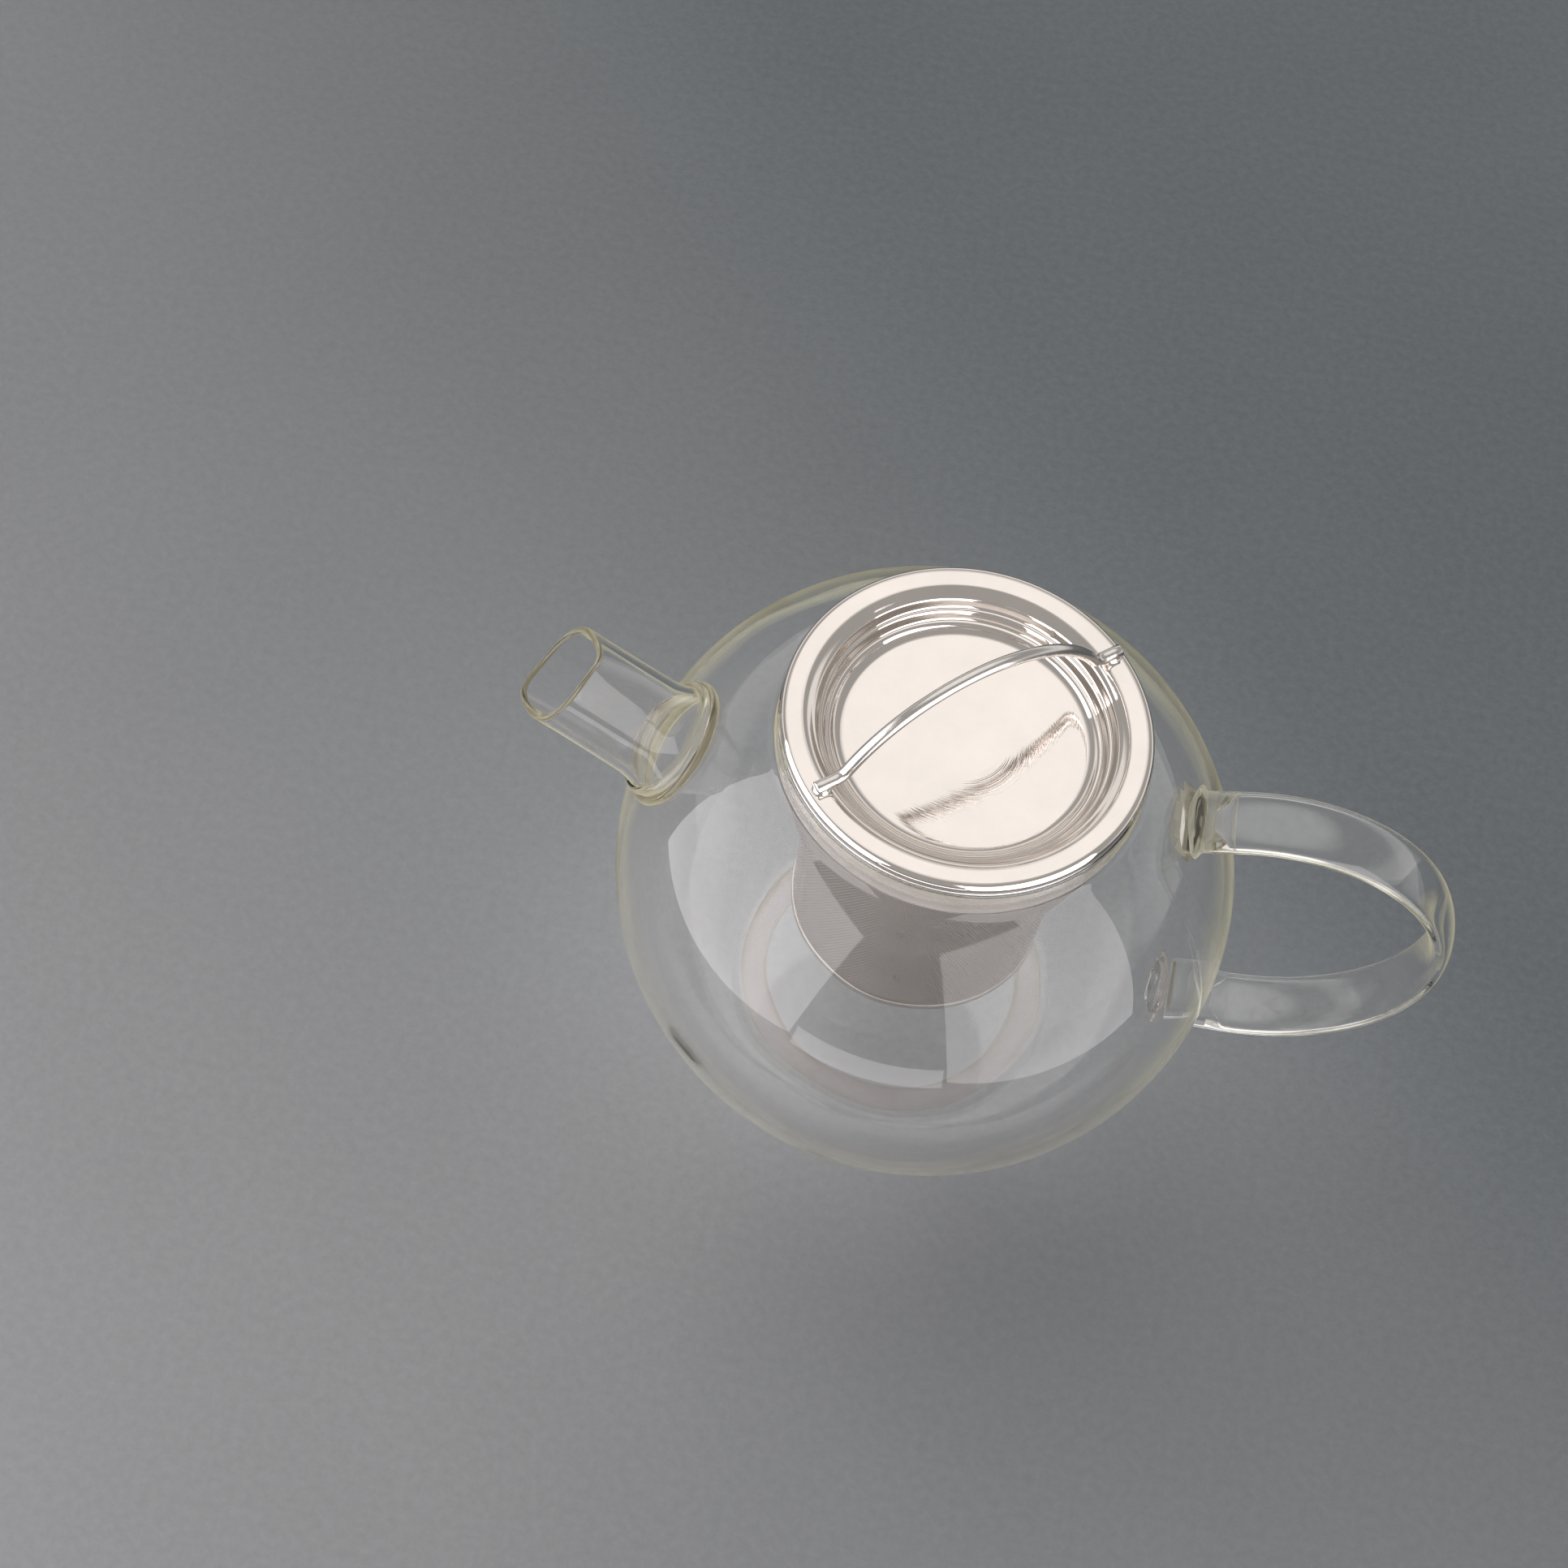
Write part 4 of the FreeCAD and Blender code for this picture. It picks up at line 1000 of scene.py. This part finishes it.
def make_camera():
    """In front and high above, rolled a little, with a long lens."""
    azimuth = math.radians(CAMERA_AZIMUTH)
    elevation = math.radians(CAMERA_ELEVATION)
    roll = math.radians(CAMERA_ROLL)
    back = Vector((math.sin(azimuth) * math.cos(elevation),
                   -math.cos(azimuth) * math.cos(elevation), math.sin(elevation)))
    level = Vector((math.cos(azimuth), math.sin(azimuth), 0))
    above = back.cross(level)
    right = level * math.cos(roll) + above * math.sin(roll)
    up = above * math.cos(roll) - level * math.sin(roll)
    camera = bpy.data.cameras.new("camera")
    camera.sensor_width = SENSOR_WIDTH
    camera.lens = LENS
    thing = bpy.data.objects.new("camera", camera)
    matrix = Matrix((right, up, back)).transposed().to_4x4()
    matrix.translation = (Vector((0, 0, BULB_CENTRE)) + back * CAMERA_DISTANCE
                          - right * AIM_RIGHT + up * AIM_DOWN)
    thing.matrix_world = matrix
    bpy.context.scene.collection.objects.link(thing)
    bpy.context.scene.camera = thing


# ------------------------------------------------------------------ assembly
def settle(piece, material, body, slot, *nodes):
    """Give a piece its material, body and the CAD nodes it stands for. slot is not used."""
    piece.data.materials.clear()
    piece.data.materials.append(material)
    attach(piece, body)
    if nodes:
        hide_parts(*nodes)


make_camera()
make_stage()
make_lights()
strainer = strainer_material()
wire = wire_material()
# each glass carries a painted glow: pale yellow at the bulb's edges, stronger and yellower on the
# welds and the spout's rim, faint and pinkish on the foot ring
blown = glass_material("blown_glass_painted_glow", (0.995, 0.993, 0.99, 1), (0.96, 0.93, 0.66, 1),
                       0.68, 0.86, 0.0, 0.75, low_share=0.25)
fused = glass_material("weld_glass", (1.0, 0.995, 0.95, 1), (1.0, 0.98, 0.82, 1),
                       0.15, 1.0, 0.2, 0.85)
foot = glass_material("foot_glass_painted_glow", (1.0, 0.99, 0.985, 1), (1.0, 0.94, 0.95, 1),
                      0.0, 1.0, 0.2, 0.5)
settle(make_pot(), blown, "pot", "clear_glass", "glass_bulb", "spout_tube", "spout_weld_bead",
       "handle_tube", "handle_upper_weld", "handle_lower_weld")
paint_pot(bpy.data.objects["glass_pot"], fused, foot)
settle(make_collar(), brushed_material(), "infuser", "brushed_steel", "infuser_collar")
settle(make_wall(), strainer, "infuser", "perforated_steel", "infuser_wall")
settle(make_floor(), strainer, "infuser", "perforated_steel", "infuser_floor")
settle(make_hem(), wire, "infuser", "perforated_steel", "infuser_floor_hem")
settle(make_dish(), polished_material(), "lid", "polished_steel", "lid_dish")
settle(make_bail(), wire, "lid", "wire_steel", "lid_bail")
settle(make_nuggets(), wire, "lid", "wire_steel", "bail_spot_welds")
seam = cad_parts["infuser_wall_seam"]
for material_slot in seam.material_slots:
    material_slot.material = wire

bpy.context.scene.view_settings.view_transform = "Standard"
light_paths = bpy.context.scene.cycles
light_paths.max_bounces = 36
light_paths.glossy_bounces = 16
light_paths.transmission_bounces = 32
light_paths.transparent_max_bounces = 32
